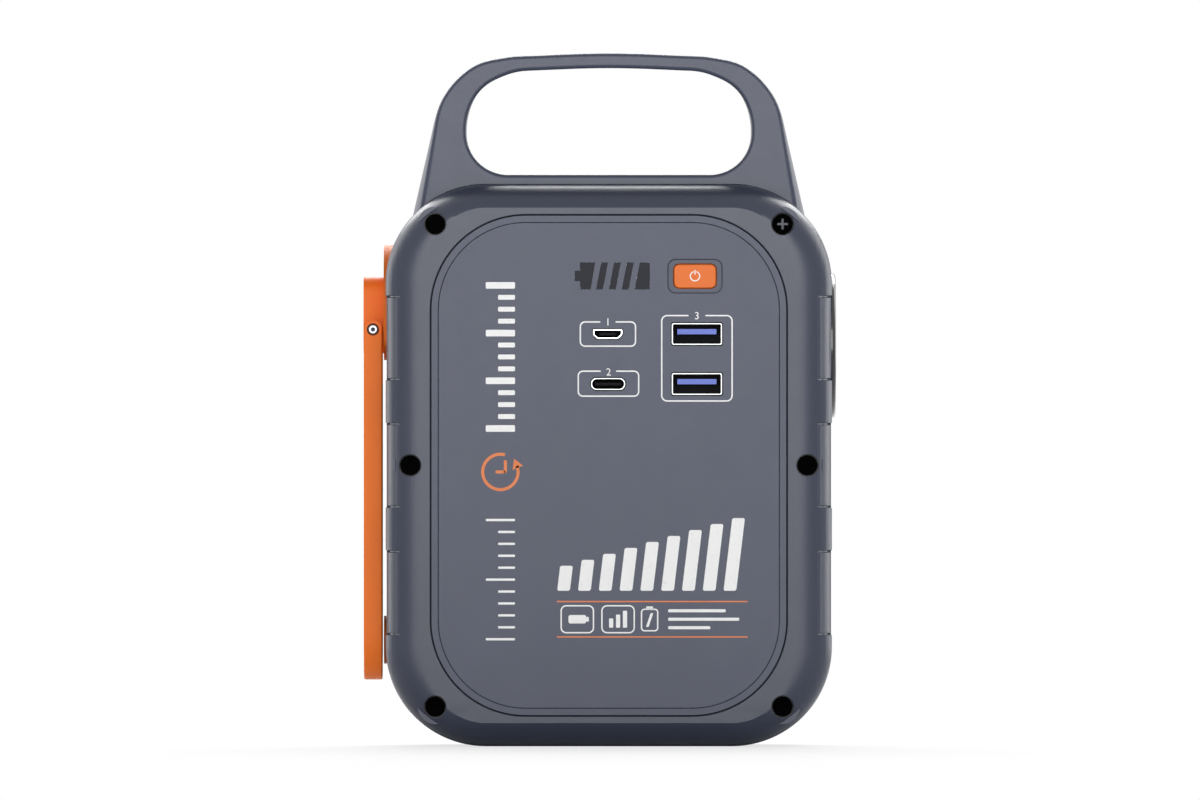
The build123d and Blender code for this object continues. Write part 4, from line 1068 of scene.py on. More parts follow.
@dataclass
class Case:
    """Front and rear shells with their rounded edges, openings and screw holes."""

    outline: Outline = Outline(116.2, 146.4, 26.0)
    panel: Outline = Outline(92.2, 129.8, 24.5)
    rear_field: Outline = Outline(84.2, 114.4, 18.0)
    front_y: float = -28.0
    back_y: float = 28.0
    parting_y: float = -20.0
    wall: float = 2.4
    front_wall: float = 3.6
    panel_thickness: float = 2.0
    panel_gap: float = 0.4
    fine_line_inset: float = 1.75
    ledge: float = 2.2
    parting_bevel: float = 0.25
    rounding_depth: float = 7.5
    opening_lip: float = 0.12
    rim_width: float = 3.0
    lap: float = 1.5
    steps: int = 14
    front_rounding: Rounding = Rounding(-28.0, 1.0, 10.0, 6.2, 7.5, 12.0, 24.0)
    back_rounding: Rounding = Rounding(28.0, -1.0, 7.5, 7.5, 7.5, 7.5, 0.0)
    hole_radius: float = 3.0
    hole_end_y: float = -21.6
    holes: tuple[tuple[float, float], ...] = ((45.2, 136.0), (51.7, 73.2), (45.2, 10.4))
    hole_past: float = 2.0
    column_radius: float = 4.5
    column_length: float = 4.9
    column_middle_y: float = -22.45
    shank_radius: float = 1.4
    shank_length: float = 4.0
    shank_middle_y: float = -21.0
    side_levels: tuple[float, ...] = (-19.0, -18.0, -17.0, -16.0)
    back_floor_inset: float = 9.0
    back_inner_inset: float = 1.6
    back_inner_depths: tuple[float, float] = (5.0, 9.0)
    field_bevel: float = 0.5
    field_depth: float = 0.6
    sharp_angle: float = 18.0
    hub_spot: tuple[float, float] = (0.0, 115.6)
    boss_spot: tuple[float, float] = (0.0, 27.6)
    lamp_spot: tuple[float, float] = (0.0, 104.4)
    recesses: SideRecesses = field(default_factory=SideRecesses)

    def _bars(self, name: str, radius: float, middle_y: float, length: float,
              sides: int = 96) -> list[bpy.types.Object]:
        """Makes one round bar at every screw hole.

        Args:
            name: The bars' name.
            radius: Their radius.
            middle_y: The middle of their length.
            length: Their length.
            sides: Number of their sides.

        Returns:
            The bars.
        """
        return [cutter(round_bar("Y", (side * x, middle_y, z), radius, length, sides), name)
                for side in (-1, 1) for x, z in self.holes]

    def front_shell(self) -> bpy.types.Object:
        """Builds the frame round the panel.

        Returns:
            The front shell.
        """
        start = self.outline.inset(self.wall)
        bend = self.front_rounding
        skin = RingSkin(start, self.parting_y, 24)
        skin.follow(bend.at_depth(self.parting_y, self.parting_bevel), self.outline, shown=False)
        skin.follow(bend.at_depth(self.parting_y - self.parting_bevel), self.outline)
        bend_y = self.front_y + self.rounding_depth
        for step in range(self.steps + 1):
            skin.follow(bend.at_share(bend_y, step / self.steps), self.outline)
        opening = self.panel.inset(-self.panel_gap)
        skin.ring(opening.inset(-self.opening_lip), self.front_y)
        skin.ring(opening, self.front_y + self.opening_lip)
        skin.ring(opening, self.front_y + self.panel_thickness)
        skin.ring(self.panel.inset(self.ledge), self.front_y + self.panel_thickness)
        skin.ring(self.panel.inset(self.ledge), self.front_y + self.front_wall)
        skin.ring(self.outline.inset(self.wall + self.rim_width), self.front_y + self.front_wall)
        skin.ring(start, self.parting_y - self.lap)
        skin.ring(start, self.parting_y)
        skin.weld()
        self.recesses.press(skin)
        shell = cutter(skin.bm, "front_frame")
        columns = self._bars("column", self.column_radius, self.column_middle_y, self.column_length)
        carve(shell, columns, "UNION")
        depth = self.hole_end_y - self.front_y + self.hole_past
        bores = self._bars("bore", self.hole_radius, self.hole_end_y - depth / 2, depth)
        shanks = self._bars("shank_bore", self.shank_radius, self.shank_middle_y, self.shank_length, 32)
        carve(shell, bores + shanks, "DIFFERENCE")
        return settle(shell, CASE_GREY, "case", ["front_shell"], self.sharp_angle)

    def rear_shell(self) -> bpy.types.Object:
        """Builds the deep rear shell with its seats for the crank, the catch and the lamp.

        Returns:
            The rear shell.
        """
        inner = self.outline.inset(self.wall)
        outer_depth, inner_depth = self.back_inner_depths
        skin = RingSkin(self.outline.inset(self.back_floor_inset), self.back_y - self.wall, 24, keep_cap=True)
        skin.ring(inner.inset(self.back_inner_inset), self.back_y - outer_depth)
        skin.ring(inner, self.back_y - inner_depth)
        skin.ring(inner, self.parting_y)
        bend = self.front_rounding
        skin.follow(bend.at_depth(self.parting_y, self.parting_bevel), self.outline, shown=False)
        for y in (self.parting_y + self.parting_bevel, *self.side_levels):
            skin.follow(bend.at_depth(y), self.outline)
        bend_y = self.back_y - self.rounding_depth
        for step in range(self.steps + 1):
            skin.follow(self.back_rounding.at_share(bend_y, step / self.steps), self.outline)
        skin.ring(self.rear_field, self.back_y)
        skin.ring(self.rear_field.inset(self.field_bevel), self.back_y - self.field_depth)
        skin.cap()
        skin.weld()
        self.recesses.press(skin)
        shell = cutter(skin.bm, "rear_body")
        hub, boss, lamp = self.hub_spot, self.boss_spot, self.lamp_spot
        seats = [cutter(round_bar("X", (-54.3, *hub), 16.4, 2.1), "hub_seat"),
                 cutter(round_bar("X", (-53.1, *hub), 8.0, 5.0), "bush_seat"),
                 cutter(round_bar("X", (-55.4, *boss), 8.25, 2.6), "boss_seat")]
        carve(shell, seats, "UNION")
        pockets = [cutter(round_bar("X", (-58.6, *hub), 15.35, 6.0), "hub_pocket"),
                   cutter(round_bar("X", (-53.1, *hub), 5.5, 8.0, 64), "bush_bore"),
                   cutter(round_bar("X", (-58.5, *boss), 6.26, 4.0), "boss_pocket"),
                   cutter(round_bar("X", (58.9, *lamp), 19.3, 4.0), "lamp_pocket"),
                   cutter(round_bar("X", (55.0, *lamp), 16.6, 8.0), "lamp_bore")]
        carve(shell, pockets, "DIFFERENCE")
        return settle(shell, CASE_GREY, "case", ["rear_shell"], self.sharp_angle)

    def _band(self, bm: bmesh.types.BMesh, outline: Outline, width: float, front_y: float,
              back_y: float) -> None:
        """Adds a thin ring that follows an outline.

        Args:
            bm: The mesh.
            outline: The middle of the ring.
            width: Its width.
            front_y: Its front.
            back_y: Its back.
        """
        face = outline.inset(-width / 2).face(bm, back_y, 24)
        rim = bmesh.ops.inset_region(bm, faces=[face], thickness=width, use_even_offset=True,
                                     use_boundary=True)["faces"]
        bmesh.ops.delete(bm, geom=[face], context="FACES")
        made = bmesh.ops.extrude_face_region(bm, geom=rim)["geom"]
        shift(bm, made, (0.0, front_y - back_y, 0.0))
        bmesh.ops.recalc_face_normals(bm, faces=bm.faces)

    def shade_lines(self) -> None:
        """Builds painted shade: a dark band in the gap round the panel, dark floors in the fine lines and a
        dark ring along the dish's edge.
        """
        gap_shade = blank()
        self._band(gap_shade, self.panel.inset(-self.panel_gap / 2), self.panel_gap - 0.04, -27.8, -26.05)
        publish(gap_shade, "panel_gap_shade", FINISHES["line_dark"], "case")
        lines = blank()
        self._band(lines, self.panel.inset(self.fine_line_inset), 0.28, -27.86, -27.81)
        publish(lines, "fine_line_shade", FINISHES["line_grey"], "case")
        dish = blank()
        self._band(dish, Outline(14.1, 8.8, 2.05, 22.4, 122.4), 0.24, -28.02, -28.001)
        publish(dish, "dish_edge_shade", FINISHES["line_grey"], "case")

    def build(self) -> None:
        """Builds and dresses the case."""
        self.front_shell()
        self.rear_shell()
        self.shade_lines()


# ---------------------------------------------------------------- button
@dataclass
class PowerButton:
    """Orange push button with a softened edge, in front of a wider flange."""

    cap: Outline = Outline(10.9, 6.1, 1.4, 22.4, 122.4)
    flange: Outline = Outline(12.7, 7.9, 2.3, 22.4, 122.4)
    face_y: float = -28.38
    flange_front_y: float = -25.9
    flange_back_y: float = -25.1
    stem_radius: float = 1.6
    stem_length: float = 4.1
    edge: float = 0.32
    overlap: float = 0.2

    def _block(self, outline: Outline, front_y: float, back_y: float) -> bmesh.types.BMesh:
        """Makes a solid block with a rounded outline.

        Args:
            outline: Its outline.
            front_y: Its front.
            back_y: Its back.

        Returns:
            The mesh.
        """
        bm = blank()
        face = outline.face(bm, back_y, 10)
        made = bmesh.ops.extrude_face_region(bm, geom=[face], use_keep_orig=True)["geom"]
        shift(bm, made, (0.0, front_y - back_y, 0.0))
        bmesh.ops.recalc_face_normals(bm, faces=bm.faces)
        return bm

    def build(self) -> None:
        """Builds the button with its softened front edge."""
        bm = self._block(self.cap, self.face_y, self.flange_front_y + self.overlap)
        rim = [edge for edge in bm.edges if all(abs(vert.co.y - self.face_y) < 0.01 for vert in edge.verts)]
        bmesh.ops.bevel(bm, geom=rim, offset=self.edge, offset_type="OFFSET", segments=5, profile=0.5,
                        affect="EDGES", material=-1)
        button = cutter(bm, "button_cap")
        flange = cutter(self._block(self.flange, self.flange_front_y, self.flange_back_y), "button_flange")
        stem_middle_y = self.flange_back_y - self.overlap + self.stem_length / 2
        stem = round_bar("Y", (self.cap.middle_x, stem_middle_y, self.cap.middle_z), self.stem_radius,
                         self.stem_length, 32)
        carve(button, [flange, cutter(stem, "button_stem")], "UNION")
        settle(button, BUTTON_ORANGE, "button", ["power_button"])


# ---------------------------------------------------------------- hinge pin
@dataclass
class HingePin:
    """Pin of the folding arm, with a rounded head and a hexagon socket at each end."""

    x: float = -61.5
    z: float = 108.6
    radius: float = 1.25
    half_length: float = 11.2
    socket_radius: float = 0.6
    socket_depth: float = 0.9
    edge: float = 0.28
    shade_ring_radius: float = 1.62
    shade_ring_lift: float = 0.004
    shade_ring_lap: float = 0.05
    shade_ring_depth: float = 0.1
    floor_drop: float = 0.5
    shade_disc_gap: float = 0.03
    shade_disc_thickness: float = 0.3

    def build(self) -> None:
        """Builds the pin, the dark rings of painted shade round its ends and the dark blue discs of painted
        shade inside its sockets.
        """
        bm = round_bar("Y", (self.x, 0.0, self.z), self.radius, 2 * self.half_length, 48)
        ends = [edge for edge in bm.edges if abs(abs(edge.verts[0].co.y) - self.half_length) < 0.01
                and abs(edge.verts[0].co.y - edge.verts[1].co.y) < 0.01]
        bmesh.ops.bevel(bm, geom=ends, offset=self.edge, offset_type="OFFSET", segments=4, profile=0.5,
                        affect="EDGES", material=-1)
        pin = cutter(bm, "hinge_pin")
        sockets = [cutter(round_bar("Y", (self.x, side * self.half_length, self.z), self.socket_radius,
                                    2 * self.socket_depth, 6), "socket") for side in (-1, 1)]
        carve(pin, sockets, "DIFFERENCE")
        settle(pin, FINISHES["pin_steel"], "arm", ["arm_pin"])
        # Dark rings of painted shade, standing for the shadow in the gap round each end of the pin.
        shade_rings = blank()
        for side in (-1, 1):
            y = side * (self.half_length + self.shade_ring_lift)
            place = Matrix.Translation((self.x, y, self.z)) @ Matrix.Rotation(math.pi / 2, 4, "X")
            edges = []
            for radius in (self.radius - self.shade_ring_lap, self.shade_ring_radius):
                circle = bmesh.ops.create_circle(shade_rings, cap_ends=False, segments=48, radius=radius,
                                                 matrix=place)
                edges += list({edge for vert in circle["verts"] for edge in vert.link_edges})
            ring = bmesh.ops.bridge_loops(shade_rings, edges=edges)["faces"]
            made = bmesh.ops.extrude_face_region(shade_rings, geom=ring)["geom"]
            shift(shade_rings, made, (0.0, -side * self.shade_ring_depth, 0.0))
        bmesh.ops.recalc_face_normals(shade_rings, faces=shade_rings.faces)
        publish(shade_rings, "pin_shade_rings", FINISHES["rim_brown"], "arm")
        # Dark blue discs of painted shade inside the sockets. floor_drop is how deep they sit.
        socket_shade_discs = blank()
        for side in (-1, 1):
            place = (self.x, side * (self.half_length - self.floor_drop), self.z)
            bar = round_bar("Y", place, self.socket_radius - self.shade_disc_gap, self.shade_disc_thickness, 6)
            spare = bpy.data.meshes.new("socket_shade_disc")
            bar.to_mesh(spare)
            bar.free()
            socket_shade_discs.from_mesh(spare)
            bpy.data.meshes.remove(spare)
        publish(socket_shade_discs, "pin_socket_shade", FINISHES["socket_blue"], "arm")


# ---------------------------------------------------------------- sockets
@dataclass
class Sockets:
    """Charging sockets with rounded metal lips, and the blades inside the two large ones."""

    lip_y: float = -27.95
    end_y: float = -16.2
    skin: float = 0.33
    lip: float = 0.12
    large_places: tuple[tuple[float, float], ...] = ((22.9, 107.35), (22.9, 94.35))
    large_size: tuple[float, float, float] = (13.1, 5.7, 0.55)
    oval_place: tuple[float, float] = (-0.2, 94.35)
    oval_size: tuple[float, float, float] = (8.94, 3.16, 1.5)
    small_place: tuple[float, float] = (-0.3, 107.35)
    small_size: tuple[float, float] = (7.6, 2.5)
    small_foot: float = 1.05
    small_corner: float = 0.3
    blade_size: tuple[float, float] = (10.2, 1.4)
    blade_rise: float = 0.62
    blade_y: float = -26.6
    blade_edge: float = 0.12
    block_size: tuple[float, float, float] = (12.1, 2.0, 4.7)
    block_edge: float = 0.1

    def _tube(self, bm: bmesh.types.BMesh, face: bmesh.types.BMFace) -> None:
        """Turns a face at the socket's end into a tube with a rounded lip.

        Args:
            bm: The mesh.
            face: The tube's outline, at its end.
        """
        rim = bmesh.ops.inset_region(bm, faces=[face], thickness=self.skin, use_even_offset=True,
                                     use_boundary=True)["faces"]
        bmesh.ops.delete(bm, geom=[face], context="FACES")
        made = bmesh.ops.extrude_face_region(bm, geom=rim)["geom"]
        moved = [part for part in made if isinstance(part, bmesh.types.BMVert)]
        bmesh.ops.translate(bm, vec=(0.0, self.lip_y - self.end_y, 0.0), verts=moved)
        near = self.lip_y + 0.01
        around = [edge for edge in bm.edges if edge.verts[0].co.y < near and edge.verts[1].co.y < near
                  and any(abs(part.normal.y) < 0.5 for part in edge.link_faces)]
        fresh = [edge for edge in around if all(vert in moved for vert in edge.verts)]
        bmesh.ops.recalc_face_normals(bm, faces=bm.faces)
        bmesh.ops.bevel(bm, geom=fresh, offset=self.lip, offset_type="OFFSET", segments=3, profile=0.5,
                        affect="EDGES", material=-1, clamp_overlap=True)

    def _shell(self, name: str, node: str,
               draw: Callable[[bmesh.types.BMesh], list[bmesh.types.BMFace]]) -> None:
        """Builds the metal shell of one kind of socket.

        Args:
            name: The piece's name.
            node: The CAD node that it stands for.
            draw: Draws the outline of each copy at the socket's end.
        """
        bm = blank()
        for face in draw(bm):
            self._tube(bm, face)
        bmesh.ops.recalc_face_normals(bm, faces=bm.faces)
        publish(bm, name, PORT_STEEL, "case", [node], 50.0)

    def _large(self, bm: bmesh.types.BMesh) -> list[bmesh.types.BMFace]:
        """Draws the two large sockets."""
        return [Outline(*self.large_size, *place).face(bm, self.end_y, 4) for place in self.large_places]

    def _oval(self, bm: bmesh.types.BMesh) -> list[bmesh.types.BMFace]:
        """Draws the oval socket."""
        return [Outline(*self.oval_size, *self.oval_place).face(bm, self.end_y, 8)]

    def _small(self, bm: bmesh.types.BMesh) -> list[bmesh.types.BMFace]:
        """Draws the small inlet, narrower at its foot.

        Args:
            bm: The mesh.

        Returns:
            The one face that it draws.
        """
        x, z = self.small_place
        place = Matrix.Translation((x, self.end_y, z)) @ Matrix.Rotation(math.pi / 2, 4, "X")
        grid = bmesh.ops.create_grid(bm, x_segments=1, y_segments=1, size=0.5,
                                     matrix=place @ Matrix.Diagonal((*self.small_size, 1.0, 1.0)))["verts"]
        feet = [vert for vert in grid if vert.co.z < z]
        tops = [vert for vert in grid if vert.co.z > z]
        cut = bmesh.ops.bevel(bm, geom=feet, offset=self.small_foot, offset_type="OFFSET", segments=1,
                              profile=0.5, affect="VERTICES", material=-1)["verts"]
        corners = [vert for vert in {*tops, *cut} if vert.is_valid]
        made = bmesh.ops.bevel(bm, geom=corners, offset=self.small_corner, offset_type="OFFSET", segments=3,
                               profile=0.5, affect="VERTICES", material=-1)["verts"]
        return [made[0].link_faces[0]]

    def _block(self, bm: bmesh.types.BMesh, size: tuple[float, float, float],
               place: tuple[float, float, float], round_by: float) -> None:
        """Adds a block with rounded edges.

        Args:
            bm: The mesh.
            size: Its width, depth and height.
            place: Its middle.
            round_by: Radius of its edges.
        """
        cube = bmesh.ops.create_cube(bm, size=1.0,
                                     matrix=Matrix.Translation(place) @ Matrix.Diagonal((*size, 1.0)))
        edges = {edge for vert in cube["verts"] for edge in vert.link_edges}
        bmesh.ops.bevel(bm, geom=list(edges), offset=round_by, offset_type="OFFSET", segments=2, profile=0.5,
                        affect="EDGES", material=-1)

    def blades(self) -> None:
        """Builds the blue blades and the dark blocks that carry them."""
        blue = blank()
        dark = blank()
        width, height = self.blade_size
        floor = self.block_size[1]
        for x, z in self.large_places:
            depth = self.end_y - self.blade_y
            middle = (x, (self.end_y + self.blade_y) / 2, z + self.blade_rise)
            self._block(blue, (width, depth, height), middle, self.blade_edge)
            self._block(dark, self.block_size, (x, self.end_y - floor / 2, z), self.block_edge)
        publish(blue, "socket_blades", FINISHES["port_blue"], "case", ["usb_a_tongues"])
        publish(dark, "blade_blocks", FINISHES["port_black"], "case", ["usb_a_tongues"])

    def build(self) -> None:
        """Builds the sockets."""
        self._shell("large_socket_shells", "usb_a_shells", self._large)
        self._shell("oval_socket_shell", "usb_c_shell", self._oval)
        self._shell("small_inlet_shell", "micro_b_shell", self._small)
        self.blades()


# ---------------------------------------------------------------- carry handle
@dataclass
class LoopRun:
    """Rings that follow one closed outline, each point moved by its own rule."""

    bm: bmesh.types.BMesh
    order: bmesh.types.BMLayerItem
    points: list[Vector]
    outward: list[Vector]
    edges: list[bmesh.types.BMEdge]

    @classmethod
    def start(cls, bm: bmesh.types.BMesh, order: bmesh.types.BMLayerItem, face: bmesh.types.BMFace,
              place: Callable[[Vector, Vector], Vector]) -> "LoopRun":
        """Takes a face's outline as the first ring and removes the face.

        Args:
            bm: The mesh.
            order: Vertex layer that numbers the outline's points.
            face: The face, drawn in the plane of the front.
            place: Gives a point's place in the first ring from the point and its outward direction.

        Returns:
            The run.
        """
        verts = list(face.verts)
        points = [vert.co.copy() for vert in verts]
        middle = face.calc_center_median()
        outward = []
        for index, point in enumerate(points):
            along = points[(index + 1) % len(points)] - points[index - 1]
            away = Vector((along.z, 0.0, -along.x)).normalized()
            outward.append(away if away.dot(point - middle) > 0.0 else -away)
        for index, vert in enumerate(verts):
            vert[order] = index
            vert.co = place(points[index], outward[index])
        run = cls(bm, order, points, outward, list(face.edges))
        bmesh.ops.delete(bm, geom=[face], context="FACES_ONLY")
        return run

    def ring(self, place: Callable[[Vector, Vector], Vector]) -> None:
        """Adds a ring.

        Args:
            place: Gives a point's place from the point and its outward direction.
        """
        made = bmesh.ops.extrude_edge_only(self.bm, edges=self.edges)["geom"]
        fresh = {part for part in made if isinstance(part, bmesh.types.BMVert)}
        self.edges = [part for part in made
                      if isinstance(part, bmesh.types.BMEdge) and set(part.verts) <= fresh]
        for vert in fresh:
            vert.co = place(self.points[vert[self.order]], self.outward[vert[self.order]])

    def finish(self, places: Sequence[Callable[[Vector, Vector], Vector]]) -> None:
        """Adds the remaining rings and closes both ends.

        Args:
            places: The rule of each ring.
        """
        first = self.edges
        for place in places:
            self.ring(place)
        for ends in (first, self.edges):
            bmesh.ops.contextual_create(self.bm, geom=ends)
        bmesh.ops.recalc_face_normals(self.bm, faces=self.bm.faces)


@dataclass
class CarryHandle:
    """Flat handle with a bowed top, legs that flare towards the middle of their depth, and a long opening."""

    top_z: float = 180.6
    foot_z: float = 136.0
    top_half: float = 41.5
    spread: float = 0.2288
    corner: float = 22.9
    half_depth: float = 16.0
    rim: float = 1.1
    bow: float = 0.85
    bow_reach: float = 30.0
    flare: float = 2.3
    flare_start_z: float = 168.0
    opening: Outline = Outline(74.4, 27.7, 11.0, 0.0, 162.75)
    opening_top_corner: float = 16.0
    opening_draft: float = 1.1
    side_cuts: int = 15
    long_edge: float = 10.0
    bow_rise: float = 18.0
    bow_below: float = 4.0
    flare_full_z: float = 140.0
    opening_past: float = 0.5
    seam: float = 0.12
    case: Outline = Outline(116.2, 146.4, 26.0)

    def _quad(self, bm: bmesh.types.BMesh, top_half: float, foot_half: float, top_z: float,
              foot_z: float) -> list[bmesh.types.BMVert]:
        """Makes a four-sided face in the plane of the front.

        Args:
            bm: The mesh.
            top_half: Half its width at the top.
            foot_half: Half its width at the foot.
            top_z: Its top.
            foot_z: Its foot.

        Returns:
            Its vertices.
        """
        verts = bmesh.ops.create_grid(bm, x_segments=1, y_segments=1, size=1.0,
                                      matrix=Matrix.Rotation(math.pi / 2, 4, "X"))["verts"]
        for vert in verts:
            high = vert.co.z > 0.0
            side = 1.0 if vert.co.x > 0.0 else -1.0
            vert.co = Vector((side * (top_half if high else foot_half), 0.0, top_z if high else foot_z))
        return verts

    def _round(self, bm: bmesh.types.BMesh, verts: list[bmesh.types.BMVert], reach: float,
               radius: float) -> bmesh.types.BMFace:
        """Rounds two corners of a face at one height.

        Args:
            bm: The mesh.
            verts: The corners.
            reach: How far along the sides the rounding starts.
            radius: Radius of the arc.

        Returns:
            The face.
        """
        corner = verts[0].co.copy()
        inward = -1.0 if corner.z > self.opening.middle_z else 1.0
        made = bmesh.ops.bevel(bm, geom=verts, offset=reach, offset_type="OFFSET", segments=20, profile=0.5,
                               affect="VERTICES", material=-1)["verts"]
        for vert in made:
            side = 1.0 if vert.co.x > 0.0 else -1.0
            centre = Vector((side * (abs(corner.x) - reach), 0.0, corner.z + inward * radius))
            vert.co = centre + (vert.co - centre).normalized() * radius
        return made[0].link_faces[0]

    def _long_edges(self, face: bmesh.types.BMFace) -> list[bmesh.types.BMEdge]:
        """Gives the straight sides of a rounded face."""
        return [edge for edge in face.edges if edge.calc_length() > self.long_edge]

    def _bowed(self, point: Vector, depth_share: float = 0.0) -> float:
        """Gives how far a point of the top bar sinks.

        Args:
            point: The point.
            depth_share: Share of the opening's draft that counts.

        Returns:
            The drop in millimetres.
        """
        high = min(1.0, max(0.0, (point.z - self.opening.middle_z + self.bow_below) / self.bow_rise))
        high = high * high * (3.0 - 2.0 * high)
        sideways = min(1.0, abs(point.x) / self.bow_reach)
        fading = min(1.0, max(0.0, (abs(point.x) / self.bow_reach - 0.9) / 0.3))
        remaining = 1.0 - fading * fading * (3.0 - 2.0 * fading)
        bow = self.bow * (0.5 - 0.5 * math.cos(math.pi * sideways)) * remaining
        return high * (bow - self.opening_draft * depth_share)

    def _outer(self, y: float, inset: float) -> Callable[[Vector, Vector], Vector]:
        """Gives the rule for a ring of the outside.

        Args:
            y: The ring's depth.
            inset: How far it is drawn in.

        Returns:
            The rule.
        """
        fullness = math.sqrt(max(0.0, 1.0 - (abs(y) / self.half_depth) ** 2))

        def place(point: Vector, away: Vector) -> Vector:
            """Puts a point on the ring.

            Args:
                point: The point on the flat outline.
                away: Its outward direction.

            Returns:
                Its place.
            """
            low = min(1.0, max(0.0, (self.flare_start_z - point.z)
                                   / (self.flare_start_z - self.flare_full_z)))
            drawn_in = inset + self.flare * low * (1.0 - fullness) * abs(away.x)
            return Vector((point.x - away.x * drawn_in, y, point.z - self._bowed(point) - away.z * inset))

        return place

    def _inner(self, y: float, inset: float) -> Callable[[Vector, Vector], Vector]:
        """Gives the rule for a ring of the opening.

        Args:
            y: The ring's depth.
            inset: How far it opens wider.

        Returns:
            The rule.
        """
        share = (y + self.half_depth) / (2.0 * self.half_depth)

        def place(point: Vector, away: Vector) -> Vector:
            """Puts a point on the ring.

            Args:
                point: The point on the flat outline.
                away: Its outward direction.

            Returns:
                Its place.
            """
            return Vector((point.x + away.x * inset, y, point.z - self._bowed(point, share) + away.z * inset))

        return place

    def build(self) -> None:
        """Builds the handle and cuts its foot to the case."""
        bm = blank()
        order = bm.verts.layers.int.new("order")
        foot_half = self.top_half + (self.top_z - self.foot_z) * self.spread
        quad = self._quad(bm, self.top_half, foot_half, self.top_z, self.foot_z)
        half_angle = (math.pi / 2 + math.atan(self.spread)) / 2
        tops = [vert for vert in quad if vert.co.z > self.opening.middle_z]
        face = self._round(bm, tops, self.corner / math.tan(half_angle), self.corner)
        bmesh.ops.bisect_edges(bm, edges=self._long_edges(face), cuts=self.side_cuts)
        steps = [(step / 4) * math.pi / 2 for step in range(5)]
        front = [(-self.half_depth + self.rim * (1 - math.sin(turn)), self.rim * (1 - math.cos(turn)))
                 for turn in reversed(steps)]
        middle = [(y, 0.0) for y in (-13.0, -10.0, -6.0, 0.0, 6.0, 10.0, 13.0)]
        stations = front + middle + [(-y, inset) for y, inset in reversed(front)]
        LoopRun.start(bm, order, face, self._outer(*stations[0])).finish(
            [self._outer(*station) for station in stations[1:]])
        hole = blank()
        order = hole.verts.layers.int.new("order")
        gap = self.opening
        quad = self._quad(hole, gap.width / 2, gap.width / 2, gap.middle_z + gap.height / 2,
                          gap.middle_z - gap.height / 2)
        tops = [vert for vert in quad if vert.co.z > gap.middle_z]
        feet = [vert for vert in quad if vert.co.z < gap.middle_z]
        self._round(hole, feet, gap.radius, gap.radius)
        face = self._round(hole, tops, self.opening_top_corner, self.opening_top_corner)
        bmesh.ops.bisect_edges(hole, edges=self._long_edges(face), cuts=self.side_cuts)
        beyond = self.half_depth + self.opening_past
        stations = [(-beyond, self.rim)] + stations + [(beyond, self.rim)]
        LoopRun.start(hole, order, face, self._inner(*stations[0])).finish(
            [self._inner(*station) for station in stations[1:]])
        handle = cutter(bm, "carry_loop")
        block = RingSkin(self.case.inset(-self.seam), -self.case.width / 2, 24, keep_cap=True)
        block.ring(self.case.inset(-self.seam), self.case.width / 2)
        block.cap()
        block.weld()
        carve(handle, [cutter(hole, "opening"), cutter(block.bm, "case_block")], "DIFFERENCE")
        settle(handle, HANDLE_GREY, "case", ["carry_handle"])


# ---------------------------------------------------------------- prints
class Mark(Enum):
    """The two inks of the front panel."""

    WHITE = "print_white"
    ORANGE = "print_orange"


